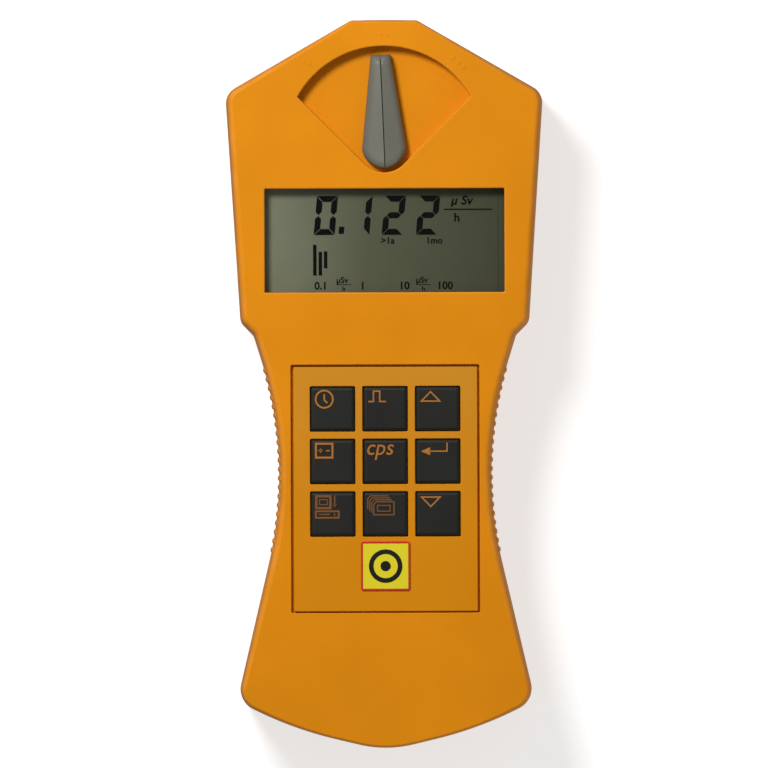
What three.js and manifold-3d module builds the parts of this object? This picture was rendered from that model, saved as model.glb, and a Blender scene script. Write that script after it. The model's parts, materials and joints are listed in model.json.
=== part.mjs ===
// Handheld geiger counter, an assembly of separate solids.
// Millimetres, +Z up. The counter lies on its back: the display faces +Z, the detector end points to +Y,
// and the origin is at the middle of the footprint, on the resting face.
import * as THREE from "three";
import { mergeVertices } from "three/addons/utils/BufferGeometryUtils.js";
import Module from "manifold-3d";

const wasm = await Module();
wasm.setup();

const DEG = Math.PI / 180;

// ---------------------------------------------------------------- driving dimensions

const FACE_Z = 29; // front face of the case
const SEAM_Z = 12.5; // parting plane of the two shells, and the detector tube's axis
const SEAM_GAP = 0.3;
const WALL = 2; // front and back plates
const SIDE_WALL = 2.2;
const RIM = { start: 2.6, draft: 0.7, round: 1.6, steps: 4 }; // rounded edge around both faces
const STACK_GAP = 0.1; // between pieces that lie on each other

// Right half of the case outline, from the detector end to the grip end: x, y, corner radius.
const HALF_OUTLINE = [
  [7.4, 81.5, 1.5],
  [35.6, 65.15, 4],
  [32.35, 13.8, 3],
  [29.4, 10.85, 2],
  [20.8, -17.1, 85],
  [33.4, -71, 5],
  [20.35, -77.4, 85],
];
const GRIP_TIP = [0, -82.245, 26];

const RIB = { first: 3, last: -37, pitch: 2, r: 0.62, proud: 0.34, ends: [4.6, 24.4] };

const WINDOW = { x: 53.6, y: 23.2, at: 32.1, chamfer: 0.4 }; // display opening
const LENS = { x: 57.4, y0: 18.9, y1: 45.3, z0: 25.75, z1: 26.9 };
const LCD = { x: 57, y0: 19.4, y1: 44.6, z0: 23.5, z1: 25.2 };
const LCD_FRAME = { wall: 0.9, z1: 25.65 };

const KEYPAD = { x: 42.2, y: 55.5, at: -23.4, depth: 1.1, plate: 1.8 }; // pocket in the front face
const PANEL = { clear: 0.3, thick: 0.7, hole: 10.4 };
const KEY = { size: 10, pitch: 11.75, at: -17.3, top: 29.05, travel: 0.6 };
const KEY_FLANGE = { size: 11.2, z0: 24.7, z1: 25.9 };
const KEY_PLUNGER = { r: 1.6, z0: 22.75 };
const BADGE = { size: 11, thick: 0.3, at: -40.7 };

const PIVOT_Y = 53.3; // selector's axis
const RECESS = { r: 22.25, apex: 6, depth: 3.6, floor: 1.6, wall: 1.6 };
const MARK = { r: 0.45, proud: 0.15, from_pivot: 24.9, pitch: 1.6 }; // raised dots at the three positions
const LEVER = { tilt: 2.5, hub: 4.95, tip: 2, reach: 20.55, ridge: 30, eave: 28.3, gap: 0.3 };
const SHAFT = { r: 2.42, bore: 2.5, z0: 21.05, z1: 28, flat: 1.7 };
const PIVOT_BOSS = { r: 4.4, z0: 22.6 };
const ARM = { r: 25, hub: 5, z0: 21.2, z1: 22.3, from: 70, to: 150 };
const SHIELD = { thick: 1.4, foil: 0.4, split: 111, z0: 6.5 };
const DETENT = { angle: 42, x: 9.3, y: 47.1, thick: 0.4, post: 1.3 };

const TUBE = { wall: 0.5, body: 6.75, flange: 7.55, y0: 26.3, y1: 75.3, flange_length: 6, mica: 4.7 };
const GRILLE = { opening: 5.2, r: 6.2, y0: 80.15, y1: 80.65, bar: 0.5, pitch: 1.8 };

const BOARD = { inset: 3.5, y0: -60, y1: 45.3, z0: 19.7, z1: 21.3 };
const BOARD_BOSSES = [
  [-25.5, 13.5],
  [25.5, 13.5],
  [-20, -55.5],
  [20, -55.5],
];
const CASE_BOSSES = [
  [-29, 57.5],
  [29, 57.5],
  [-25.3, -64],
  [25.3, -64],
];
const CASE_SCREW = { head: 2.7, shank: 1, bore: 1.25, sink: 0.7, thick: 2, tip: 22, boss: 3.2 };
const BOARD_SCREW = { head: 1.8, shank: 0.8, bore: 0.95, thick: 1.2, tip: 25, boss: 2.6 };

const CELL = { r: 7.25, length: 50, x: 8.5, y: -36.5, z: 10.4 }; // AA-size lithium cell
const TRAY = { clear: 0.2, wall: 1.3, end: 2, z1: 8 };
const BUZZER = { r: 6.5, x: -12, y: -46, z0: 16.2 };
const USB = { x0: -31.4, x1: -24.6, y: 28, width: 7.7, z0: 15.6, z1: 19.6 };
const LABEL = { x: 48, y: 28, at: 33, depth: 0.5, thick: 0.4 };

// ---------------------------------------------------------------- finishes

const finish = (color, roughness, metalness = 0) =>
  new THREE.MeshStandardMaterial({ color, roughness, metalness });

const ORANGE = finish(0xe08d1c, 0.5);
const PANEL_ORANGE = finish(0xd98a22, 0.4);
const KEY_BLACK = finish(0x292b26, 0.45);
const LEVER_GREY = finish(0x77766c, 0.4);
const BADGE_YELLOW = finish(0xd6c822, 0.4);
const CLEAR = new THREE.MeshStandardMaterial({
  color: 0xf2f5f2,
  roughness: 0.05,
  transparent: true,
  opacity: 0.25,
});
const LCD_GREEN = finish(0x6f745b, 0.3);
const BLACK_PLASTIC = finish(0x1b1b1d, 0.5);
const BLACK_RUBBER = finish(0x161616, 0.8);
const BOARD_GREEN = finish(0x1d5b33, 0.4);
const WHITE_PLASTIC = finish(0xe6e4dc, 0.5);
const STEEL = finish(0xb9bcc0, 0.3, 1);
const ALUMINIUM = finish(0xc9ccd0, 0.35, 1);
const BRASS = finish(0xc09a4a, 0.3, 1);
const CELL_WRAP = finish(0x2b6e4d, 0.4);
const RED_WIRE = finish(0xb32424, 0.5);
const BLACK_WIRE = finish(0x202020, 0.5);
const SILVER_LABEL = finish(0xc5c8c6, 0.35);

// ---------------------------------------------------------------- solids

// A closed three.js geometry as a manifold-3d solid.
function solidOf(geometry) {
  const bare = geometry.clone();
  bare.deleteAttribute("normal");
  bare.deleteAttribute("uv");
  const merged = mergeVertices(bare, 1e-4);
  return new wasm.Manifold(
    new wasm.Mesh({
      numProp: 3,
      vertProperties: merged.attributes.position.array,
      triVerts: new Uint32Array(merged.index.array),
    }),
  );
}

// A manifold-3d solid as a flat-shaded three.js geometry.
function geometryOf(solid) {
  const { numProp, vertProperties, triVerts } = solid.getMesh();
  const positions = new Float32Array((vertProperties.length / numProp) * 3);
  for (let i = 0; i * 3 < positions.length; i++) {
    positions.set(vertProperties.subarray(i * numProp, i * numProp + 3), i * 3);
  }
  const geometry = new THREE.BufferGeometry()
    .setAttribute("position", new THREE.BufferAttribute(positions, 3))
    .setIndex(new THREE.BufferAttribute(triVerts, 1))
    .toNonIndexed();
  geometry.computeVertexNormals();
  return geometry;
}

const join = (solids) => solids.reduce((sum, s) => sum.add(s));
const cut = (solid, tools) => tools.reduce((rest, tool) => rest.subtract(tool), solid);

const box = (x0, x1, y0, y1, z0, z1) =>
  solidOf(
    new THREE.BoxGeometry(x1 - x0, y1 - y0, z1 - z0).translate(
      (x0 + x1) / 2,
      (y0 + y1) / 2,
      (z0 + z1) / 2,
    ),
  );

// A box centred on x and y.
const slab = (width, length, x, y, z0, z1) =>
  box(x - width / 2, x + width / 2, y - length / 2, y + length / 2, z0, z1);

const prism = (shape, z0, z1, curveSegments = 12) =>
  solidOf(
    new THREE.ExtrudeGeometry(shape, {
      depth: z1 - z0,
      bevelEnabled: false,
      curveSegments,
    }).translate(0, 0, z0),
  );

// Upright cylinder.
const post = (r, z0, z1, x = 0, y = 0, sides = 24) =>
  solidOf(
    new THREE.CylinderGeometry(r, r, z1 - z0, sides)
      .rotateX(Math.PI / 2)
      .translate(x, y, (z0 + z1) / 2),
  );

// Cylinder along Y.
const rod = (r, y0, y1, x = 0, z = 0, sides = 24) =>
  solidOf(new THREE.CylinderGeometry(r, r, y1 - y0, sides).translate(x, (y0 + y1) / 2, z));

// Body of revolution along Y, from [radius, y] pairs that start and end on the axis.
const turned = (profile, sides = 24) =>
  solidOf(
    new THREE.LatheGeometry(
      profile.map(([r, y]) => new THREE.Vector2(r, y)),
      sides,
    ),
  );

// Skin over a stack of [loop, z] levels, whose loops have the same number of points.
function loft(levels) {
  const count = levels[0][0].length;
  const positions = levels.flatMap(([loop, z]) => loop.flatMap((p) => [p.x, p.y, z]));
  const index = [];
  for (let level = 0; level + 1 < levels.length; level++) {
    for (let i = 0; i < count; i++) {
      const a = level * count + i;
      const b = level * count + ((i + 1) % count);
      index.push(a, b, a + count, b, b + count, a + count);
    }
  }
  const last = (levels.length - 1) * count;
  for (const [a, b, c] of THREE.ShapeUtils.triangulateShape(levels[0][0], [])) {
    index.push(a, c, b);
  }
  for (const [a, b, c] of THREE.ShapeUtils.triangulateShape(levels.at(-1)[0], [])) {
    index.push(last + a, last + b, last + c);
  }
  const geometry = new THREE.BufferGeometry();
  geometry.setAttribute("position", new THREE.Float32BufferAttribute(positions, 3));
  geometry.setIndex(index);
  return solidOf(geometry);
}

// Tube with closed ends along a smooth line through points.
const wire = (points, r) =>
  solidOf(
    new THREE.ExtrudeGeometry(new THREE.Shape().absarc(0, 0, r, 0, 2 * Math.PI), {
      steps: points.length * 3,
      curveSegments: 3,
      bevelEnabled: false,
      extrudePath: new THREE.CatmullRomCurve3(points.map((p) => new THREE.Vector3(...p))),
    }),
  );

// ---------------------------------------------------------------- case outline

// Corners of a closed counter-clockwise polygon, moved inwards and rounded. The number of points doesn't
// depend on the inset, so outlines with different insets can be lofted.
function roundedLoop(corners, inset) {
  const at = (i) => corners[(i + corners.length) % corners.length];
  const direction = (a, b) => new THREE.Vector2(b[0] - a[0], b[1] - a[1]).normalize();
  return corners.flatMap((corner, i) => {
    const before = direction(at(i - 1), corner);
    const after = direction(corner, at(i + 1));
    const turn = Math.atan2(before.cross(after), before.dot(after));
    const radius = Math.max(corner[2] - Math.sign(turn) * inset, 0.3);
    const inward = new THREE.Vector2(-before.y - after.y, before.x + after.x);
    const tip = new THREE.Vector2(corner[0], corner[1]).addScaledVector(
      inward,
      inset / (1 + before.dot(after)),
    );
    const centre = tip
      .clone()
      .addScaledVector(before, -radius * Math.tan(Math.abs(turn) / 2))
      .addScaledVector(new THREE.Vector2(-before.y, before.x), Math.sign(turn) * radius);
    const steps = Math.ceil(Math.abs(turn) / ((corner[2] > 20 ? 6 : 22) * DEG));
    const start = before.angle() - (Math.sign(turn) * Math.PI) / 2;
    return Array.from({ length: steps + 1 }, (_, k) => {
      const angle = start + (turn * k) / steps;
      return new THREE.Vector2(Math.cos(angle), Math.sin(angle))
        .multiplyScalar(radius)
        .add(centre);
    });
  });
}

const OUTLINE = [
  ...HALF_OUTLINE.map(([x, y, r]) => [-x, y, r]),
  GRIP_TIP,
  ...HALF_OUTLINE.toReversed(),
];
const caseLoop = (inset) => roundedLoop(OUTLINE, inset);

// Half the width of the case at a given y, at the seam.
function halfWidth(y) {
  const side = caseLoop(0).filter((p) => p.x > 0);
  const i = side.findIndex((p, k) => k > 0 && (p.y - y) * (side[k - 1].y - y) <= 0);
  const [a, b] = [side[i - 1], side[i]];
  return THREE.MathUtils.lerp(a.x, b.x, (y - a.y) / (b.y - a.y));
}

// Outer skin of one shell, from the seam to its face. The draft leans the sides in, then the rim rounds over.
function shellSkin(seam, face) {
  const away = Math.sign(face - seam);
  const levels = [[caseLoop(0), seam]];
  for (let k = 0; k <= RIM.steps; k++) {
    const angle = (k / RIM.steps) * 90 * DEG;
    levels.push([
      caseLoop(RIM.draft + RIM.round * (1 - Math.cos(angle))),
      face - away * RIM.start * (1 - Math.sin(angle)),
    ]);
  }
  return loft(away > 0 ? levels : levels.reverse());
}

// Space inside one shell, from just past the seam to the inside of its plate.
function shellHollow(seam, plate) {
  const away = Math.sign(plate - seam);
  const levels = [
    [caseLoop(SIDE_WALL), seam - away],
    [caseLoop(SIDE_WALL + RIM.draft), plate - away * 1.5],
    [caseLoop(SIDE_WALL + RIM.draft + 0.8), plate],
  ];
  return loft(away > 0 ? levels : levels.reverse());
}

// Grip ribs down both sides of one shell, leaning with its draft.
function gripRibs(seam, end) {
  const ribs = [];
  const lean = RIM.draft * 0.8;
  const ridge = (x, y, side) => [
    new THREE.Vector2(x, y),
    new THREE.Vector2(x - side * RIB.r, y + side * RIB.r),
    new THREE.Vector2(x - side * RIB.r, y - side * RIB.r),
  ];
  for (let y = RIB.first; y >= RIB.last; y -= RIB.pitch) {
    const x = halfWidth(y) + RIB.proud;
    for (const side of [-1, 1]) {
      const levels = [
        [ridge(side * x, y, side), seam],
        [ridge(side * (x - lean), y, side), end],
      ];
      ribs.push(loft(end > seam ? levels : levels.reverse()));
    }
  }
  return join(ribs);
}

// ---------------------------------------------------------------- selector recess

// Plan of the recess that the selector lever swings in, around the pivot.
function recessShape(grow) {
  const r = RECESS.r + grow;
  const apex = RECESS.apex + grow;
  const corner = 45 * DEG - Math.asin(apex / r);
  return new THREE.Shape()
    .absarc(0, 0, r, corner, Math.PI - corner, false)
    .absarc(0, 0, apex, 225 * DEG, 315 * DEG, false);
}

// One, two and three dots outside the recess, where the lever points in its three positions.
function positionMarks() {
  const { r, proud, from_pivot, pitch } = MARK;
  return [1, 2, 3].flatMap((count, place) =>
    Array.from({ length: count }, (_, k) => {
      const angle = 90 * DEG + (1 - place) * DETENT.angle * DEG;
      const along = (k - (count - 1) / 2) * pitch;
      return post(
        r,
        FACE_Z - 0.5,
        FACE_Z + proud,
        from_pivot * Math.cos(angle) + along * Math.sin(angle),
        PIVOT_Y + from_pivot * Math.sin(angle) - along * Math.cos(angle),
        8,
      );
    }),
  );
}

const recessPrism = (grow, z0, z1) => prism(recessShape(grow), z0, z1, 8).translate([0, PIVOT_Y, 0]);

// ---------------------------------------------------------------- keypad layout

const KEY_NAMES = [
  ["key_clock", "key_pulse", "key_up"],
  ["key_battery", "key_rate", "key_enter"],
  ["key_transfer", "key_memory", "key_down"],
];
const KEYS = KEY_NAMES.flatMap((row, j) =>
  row.map((name, i) => ({
    name,
    x: (i - 1) * KEY.pitch,
    y: KEY.at + (1 - j) * KEY.pitch,
  })),
);
const POCKET_FLOOR = FACE_Z - KEYPAD.depth;
const keyHoles = (size, z0, z1) => KEYS.map(({ x, y }) => slab(size, size, x, y, z0, z1));

// ---------------------------------------------------------------- shells

const rectangle = ({ x, y, at }, grow) => [
  new THREE.Vector2(-x / 2 - grow, at - y / 2 - grow),
  new THREE.Vector2(x / 2 + grow, at - y / 2 - grow),
  new THREE.Vector2(x / 2 + grow, at + y / 2 + grow),
  new THREE.Vector2(-x / 2 - grow, at + y / 2 + grow),
];

function frontShell() {
  const seam = SEAM_Z + SEAM_GAP / 2;
  const ceiling = FACE_Z - WALL;
  const recessFloor = FACE_Z - RECESS.depth;
  const hollow = shellHollow(seam, ceiling);
  const rebate = loft([
    [caseLoop(1), seam - 1],
    [caseLoop(1), seam + 1.2],
  ]);
  const screwBoss = ([x, y]) => post(CASE_SCREW.boss, seam, ceiling + 1, x, y, 12);
  const boardBoss = ([x, y]) => post(BOARD_SCREW.boss, BOARD.z1 + STACK_GAP, ceiling + 1, x, y, 12);
  const leafPost = (x) =>
    cut(post(DETENT.post, ARM.z0 - 0.3, ceiling + 1, x, DETENT.y, 10), [
      slab(4, DETENT.thick + 0.2, x, DETENT.y, 0, ARM.z1 + 0.1),
    ]);
  const inside = join([
    recessPrism(RECESS.wall, recessFloor - RECESS.floor, FACE_Z - 0.5),
    post(PIVOT_BOSS.r, PIVOT_BOSS.z0, recessFloor, 0, PIVOT_Y),
    slab(KEYPAD.x + 4, KEYPAD.y + 4, 0, KEYPAD.at, POCKET_FLOOR - KEYPAD.plate, FACE_Z - 0.5),
    ...CASE_BOSSES.map(screwBoss),
    ...BOARD_BOSSES.map(boardBoss),
    leafPost(-DETENT.x),
    leafPost(DETENT.x),
    ...positionMarks(),
  ]);
  const skin = shellSkin(seam, FACE_Z).add(gripRibs(seam, RIB.ends[1]));
  return cut(cut(skin, [hollow, rebate]).add(inside), [
    recessPrism(0, recessFloor, FACE_Z + 1),
    post(SHAFT.bore, 0, FACE_Z, 0, PIVOT_Y, 32),
    slab(WINDOW.x, WINDOW.y, 0, WINDOW.at, 20, FACE_Z + 1),
    loft([
      [rectangle(WINDOW, 0), FACE_Z - WINDOW.chamfer],
      [rectangle(WINDOW, 2 * WINDOW.chamfer), FACE_Z + WINDOW.chamfer],
    ]),
    slab(KEYPAD.x, KEYPAD.y, 0, KEYPAD.at, POCKET_FLOOR, FACE_Z + 1),
    ...keyHoles(PANEL.hole, 20, FACE_Z),
    ...CASE_BOSSES.map(([x, y]) => post(CASE_SCREW.bore, 0, CASE_SCREW.tip + 1, x, y, 10)),
    ...BOARD_BOSSES.map(([x, y]) => post(BOARD_SCREW.bore, 0, BOARD_SCREW.tip + 0.5, x, y, 10)),
    box(-40, -20, USB.y - USB.width / 2 - 0.3, USB.y + USB.width / 2 + 0.3, USB.z0 - 0.3, USB.z1 + 0.3),
    ...grilleSeat(),
  ]);
}

function backShell() {
  const seam = SEAM_Z - SEAM_GAP / 2;
  const tongue = loft([
    [caseLoop(1.3), seam - 2],
    [caseLoop(1.3), seam + 0.9],
  ]).subtract(
    loft([
      [caseLoop(SIDE_WALL), seam - 3],
      [caseLoop(SIDE_WALL), seam + 2],
    ]),
  );
  const screwBoss = ([x, y]) => post(CASE_SCREW.boss + 0.5, 1, seam, x, y, 12);
  const headTop = CASE_SCREW.sink + CASE_SCREW.thick;
  const skin = shellSkin(seam, 0).add(gripRibs(seam, RIB.ends[0]));
  const body = cut(skin, [shellHollow(seam, WALL)]).add(
    join([tongue, ...CASE_BOSSES.map(screwBoss)]),
  );
  const soundHole = (k) => {
    const [dx, dy] = k ? [3.4 * Math.cos(k * 60 * DEG), 3.4 * Math.sin(k * 60 * DEG)] : [0, 0];
    return post(0.7, -1, WALL + 1, BUZZER.x + dx, BUZZER.y + dy, 6);
  };
  return cut(body, [
    ...CASE_BOSSES.map(([x, y]) => post(CASE_SCREW.head + 0.3, -1, headTop, x, y, 16)),
    ...CASE_BOSSES.map(([x, y]) => post(CASE_SCREW.bore + 0.2, -1, SEAM_Z, x, y, 10)),
    ...Array.from({ length: 7 }, (_, k) => soundHole(k)),
    slab(LABEL.x + 0.6, LABEL.y + 0.6, 0, LABEL.at, -1, LABEL.depth),
    ...grilleSeat(),
  ]);
}

// Opening in the detector end and the groove that holds the grille, half of it in each shell.
function grilleSeat() {
  const gap = STACK_GAP;
  return [
    rod(GRILLE.opening, 78, 83, 0, SEAM_Z, 24),
    rod(GRILLE.r + gap, GRILLE.y0 - gap, GRILLE.y1 + gap, 0, SEAM_Z, 24),
  ];
}

function windowGrille() {
  const holes = [];
  const hole = GRILLE.pitch - GRILLE.bar;
  for (let i = -2; i <= 2; i++) {
    for (let k = -2; k <= 2; k++) {
      if (Math.abs(i) + Math.abs(k) < 4) {
        const [x, z] = [i * GRILLE.pitch, SEAM_Z + k * GRILLE.pitch];
        holes.push(box(x - hole / 2, x + hole / 2, 79, 82, z - hole / 2, z + hole / 2));
      }
    }
  }
  return cut(rod(GRILLE.r, GRILLE.y0, GRILLE.y1, 0, SEAM_Z, 24), holes);
}

// ---------------------------------------------------------------- display

const displayLens = () => box(-LENS.x / 2, LENS.x / 2, LENS.y0, LENS.y1, LENS.z0, LENS.z1);

const lcdGlass = () => box(-LCD.x / 2, LCD.x / 2, LCD.y0, LCD.y1, LCD.z0, LCD.z1);

function lcdFrame() {
  const [w, gap] = [LCD_FRAME.wall, STACK_GAP];
  const x = LCD.x / 2 + gap;
  return box(-x - w, x + w, LCD.y0 - gap - w, LCD.y1 + gap + w - 0.2, BOARD.z1 + gap, LCD_FRAME.z1).subtract(
    box(-x, x, LCD.y0 - gap, LCD.y1 + gap, 0, FACE_Z),
  );
}

// Rubber strip that joins one edge of the display to the board.
const contactStrip = (y) => box(-27, 27, y - 0.8, y + 0.8, BOARD.z1 + STACK_GAP, LCD.z0 - STACK_GAP);

// ---------------------------------------------------------------- keypad

function keypadPanel() {
  const z0 = POCKET_FLOOR + 0.05;
  return cut(
    slab(
      KEYPAD.x - 2 * PANEL.clear,
      KEYPAD.y - 2 * PANEL.clear,
      0,
      KEYPAD.at,
      z0,
      z0 + PANEL.thick,
    ),
    keyHoles(PANEL.hole, 20, FACE_Z),
  );
}

// Key cap around its own axis: the cap, the flange that keeps it in, and the plunger that meets the dome.
const keyCap = () =>
  join([
    slab(KEY.size, KEY.size, 0, 0, KEY_FLANGE.z1 - 0.5, KEY.top),
    slab(KEY_FLANGE.size, KEY_FLANGE.size, 0, 0, KEY_FLANGE.z0, KEY_FLANGE.z1),
    post(KEY_PLUNGER.r, KEY_PLUNGER.z0, KEY_FLANGE.z0 + 0.5, 0, 0, 12),
  ]);

// Film with one snap dome for each key.
function domeSheet() {
  const z0 = BOARD.z1 + STACK_GAP;
  const dome = ({ x, y }) =>
    solidOf(
      new THREE.CylinderGeometry(1.2, 3, 0.6, 8).rotateX(Math.PI / 2).translate(x, y, z0 + 0.4),
    );
  return join([
    slab(KEYPAD.x - 3, 3 * KEY.pitch, 0, KEY.at, z0, z0 + 0.15),
    ...KEYS.map(dome),
  ]);
}

const badge = () => {
  const z0 = POCKET_FLOOR + 0.1 + PANEL.thick;
  return slab(BADGE.size, BADGE.size, 0, BADGE.at, z0, z0 + BADGE.thick);
};

// ---------------------------------------------------------------- selector, around the pivot

// Round bar with a flat along one side, for a keyed joint.
const keyedBar = (r, flat, z0, z1) =>
  post(r, z0, z1, 0, 0, 32).subtract(box(-9, 9, flat, 9, z0 - 1, z1 + 1));

function selectorLever() {
  const { hub, tip, reach, ridge, eave } = LEVER;
  const lean = Math.asin(hub / Math.hypot(tip, reach)) - Math.atan2(tip, reach);
  const plan = new THREE.Shape()
    .absarc(0, 0, hub, Math.PI - lean, 2 * Math.PI + lean, false)
    .lineTo(tip, reach)
    .lineTo(-tip, reach);
  const z0 = FACE_Z - RECESS.depth + LEVER.gap;
  const gable = new THREE.Shape([
    new THREE.Vector2(-6, 20),
    new THREE.Vector2(6, 20),
    new THREE.Vector2(6, eave - 0.3),
    new THREE.Vector2(0, ridge),
    new THREE.Vector2(-6, eave - 0.3),
  ]);
  const roof = new THREE.ExtrudeGeometry(gable, { depth: 40, bevelEnabled: false })
    .rotateX(Math.PI / 2)
    .translate(0, 30, 0);
  return prism(plan, z0, ridge + 1, 16)
    .intersect(solidOf(roof))
    .subtract(keyedBar(SHAFT.bore, SHAFT.flat + 0.1, z0 - 1, SHAFT.z1 + 0.2));
}

// Shaft from the lever down through the recess floor, with a screw hole in its lower end.
const selectorShaft = () =>
  keyedBar(SHAFT.r, SHAFT.flat, SHAFT.z0, SHAFT.z1)
    .add(post(SHAFT.r, ARM.z1 + 0.2, FACE_Z - RECESS.depth, 0, 0, 32))
    .subtract(post(1, SHAFT.z0 - 1, 24.6, 0, 0, 12));

const arcBand = (inner, outer, from, to) =>
  new THREE.Shape()
    .absarc(0, 0, outer, from * DEG, to * DEG, false)
    .absarc(0, 0, inner, to * DEG, from * DEG, true);

// Arm that carries the two shields round the tube's window, with three detent notches in its hub.
function shutterArm() {
  const sector = new THREE.Shape().absarc(0, 0, ARM.r, ARM.from * DEG, ARM.to * DEG, false).lineTo(0, 0);
  const notch = (angle) =>
    post(
      0.8,
      ARM.z0 - 1,
      ARM.z1 + 1,
      (ARM.hub + 0.4) * Math.sin(angle * DEG),
      -(ARM.hub + 0.4) * Math.cos(angle * DEG),
      10,
    );
  return cut(join([post(ARM.hub, ARM.z0, ARM.z1), prism(sector, ARM.z0, ARM.z1, 16)]), [
    keyedBar(SHAFT.bore, SHAFT.flat + 0.1, 0, FACE_Z),
    ...[-DETENT.angle, 0, DETENT.angle].map((a) => notch(a - LEVER.tilt)),
  ]);
}

const gammaShield = () =>
  prism(
    arcBand(ARM.r - SHIELD.thick, ARM.r, ARM.from, SHIELD.split),
    SHIELD.z0,
    ARM.z0 - STACK_GAP,
    10,
  );

const betaFoil = () =>
  prism(
    arcBand(ARM.r - SHIELD.foil, ARM.r, SHIELD.split + 0.5, ARM.to),
    SHIELD.z0,
    ARM.z0 - STACK_GAP,
    10,
  );

const selectorWasher = () => post(3.6, 20.55, 20.95).subtract(post(1.1, 20, 22, 0, 0, 12));

// Screw pointing up, its head's underside at z = 0, with a cross recess.
function screw(head, shank, thick, length) {
  const slot = (w, l) => slab(w, l, 0, 0, -thick - 1, -thick * 0.55);
  return cut(join([post(head, -thick, 0, 0, 0, 16), post(shank, -0.2, length, 0, 0, 8)]), [
    slot(head * 0.28, head * 1.2),
    slot(head * 1.2, head * 0.28),
  ]);
}

// Leaf spring between its two posts. Its nose sits in the middle notch of the arm's hub.
const detentSpring = () =>
  box(-10.4, 10.4, DETENT.y - DETENT.thick / 2, DETENT.y + DETENT.thick / 2, ARM.z0, ARM.z1 - 0.1).add(
    post(0.7, ARM.z0, ARM.z1 - 0.1, 0, DETENT.y + 0.2, 10),
  );

// ---------------------------------------------------------------- detector tube, along its own axis

// Thin metal cup, open at the window and pierced for the anode at the other end.
function detectorTube() {
  const flangeStart = TUBE.y1 - TUBE.flange_length;
  const bore = TUBE.body - TUBE.wall;
  return turned(
    [
      [2, TUBE.y0],
      [TUBE.body - 0.8, TUBE.y0],
      [TUBE.body, TUBE.y0 + 0.8],
      [TUBE.body, flangeStart],
      [TUBE.flange, flangeStart],
      [TUBE.flange, TUBE.y1],
      [TUBE.mica + 0.1, TUBE.y1],
      [TUBE.mica + 0.1, TUBE.y1 - 1],
      [TUBE.mica - 0.5, TUBE.y1 - 1],
      [TUBE.mica - 0.5, TUBE.y1 - 1.6],
      [bore, TUBE.y1 - 1.6],
      [bore, TUBE.y0 + 1],
      [2, TUBE.y0 + 1],
      [2, TUBE.y0],
    ],
    24,
  );
}

const tubeWindow = () => rod(TUBE.mica, TUBE.y1 - 0.9, TUBE.y1 - 0.6, 0, 0, 24);

// Insulated pin that carries the anode wire down the middle of the tube.
const tubeAnode = () =>
  turned(
    [
      [0, TUBE.y0 - 4.5],
      [0.6, TUBE.y0 - 4.5],
      [0.6, TUBE.y0 - 1.2],
      [1.9, TUBE.y0 - 1.2],
      [1.9, TUBE.y0 + 2],
      [0.4, TUBE.y0 + 2],
      [0.4, TUBE.y0 + 38],
      [0, TUBE.y0 + 38],
    ],
    16,
  );

// Rubber cradle under the tube, standing on the back plate.
const tubeSaddle = (y) =>
  slab(18, 4, 0, y, WALL + STACK_GAP - SEAM_Z, -1).subtract(rod(TUBE.body + 0.15, y - 5, y + 5, 0, 0, 24));

// Metal band that makes the tube's outer contact.
const cathodeBand = () =>
  rod(7.35, 58, 61, 0, 0, 24).subtract(rod(TUBE.body + 0.15, 57, 62, 0, 0, 24));

// ---------------------------------------------------------------- circuit board and what is on it

function circuitBoard() {
  const outline = loft([
    [caseLoop(BOARD.inset), BOARD.z0],
    [caseLoop(BOARD.inset), BOARD.z1],
  ]);
  return cut(
    outline.intersect(box(-40, 40, BOARD.y0, BOARD.y1, 0, FACE_Z)),
    BOARD_BOSSES.map(([x, y]) => post(BOARD_SCREW.shank + 0.3, 0, FACE_Z, x, y, 12)),
  );
}

const BOARD_UNDER = BOARD.z0 - STACK_GAP;
// Block soldered under the board: name, width, length, height, x, y, finish.
const BOARD_BLOCKS = [
  ["processor_chip", 10, 10, 1.5, -12, -17, BLACK_PLASTIC],
  ["memory_chip", 6, 5, 1.3, -13, -30, BLACK_PLASTIC],
  ["clock_crystal", 3.4, 8, 2.4, -4, -28, STEEL],
  ["high_voltage_transformer", 12, 12, 9, -14, 8, BLACK_PLASTIC],
];

// Can capacitor: radius, height, x, y.
const capacitor = (r, height, x, y) => post(r, BOARD_UNDER - height, BOARD_UNDER, x, y, 20);

function usbSocket() {
  const [y0, y1] = [USB.y - USB.width / 2, USB.y + USB.width / 2];
  const wall = 0.45;
  return box(USB.x0, USB.x1, y0, y1, USB.z0, USB.z1)
    .subtract(box(USB.x0 - 1, USB.x1 - 1, y0 + wall, y1 - wall, USB.z0 + wall, USB.z1 - wall))
    .add(box(USB.x0 + 1.2, USB.x1 - 0.5, USB.y - 2.6, USB.y + 2.6, USB.z0 + 1.6, USB.z0 + 2.4));
}

// ---------------------------------------------------------------- battery

const CELL_ENDS = [CELL.y - CELL.length / 2, CELL.y + CELL.length / 2];

function batteryCell() {
  const nub = 1.2;
  return rod(CELL.r, CELL_ENDS[0], CELL_ENDS[1] - nub, CELL.x, CELL.z, 28).add(
    rod(2.6, CELL_ENDS[0] + 5, CELL_ENDS[1], CELL.x, CELL.z, 16),
  );
}

function batteryTray() {
  const half = CELL.r + TRAY.clear;
  const [y0, y1] = [CELL_ENDS[0] - 1, CELL_ENDS[1] + 1];
  return box(
    CELL.x - half - TRAY.wall,
    CELL.x + half + TRAY.wall,
    y0 - TRAY.end,
    y1 + TRAY.end,
    WALL + STACK_GAP,
    TRAY.z1,
  ).subtract(join([rod(half, y0, y1, CELL.x, CELL.z, 28), slab(2 * half, y1 - y0, CELL.x, CELL.y, CELL.z, 20)]));
}

// Spring plate between the cell and the tray's end.
const batteryContact = (y) => box(CELL.x - 3.5, CELL.x + 3.5, y - 0.4, y + 0.4, 6.5, 15.5);

// ---------------------------------------------------------------- assembly

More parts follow.
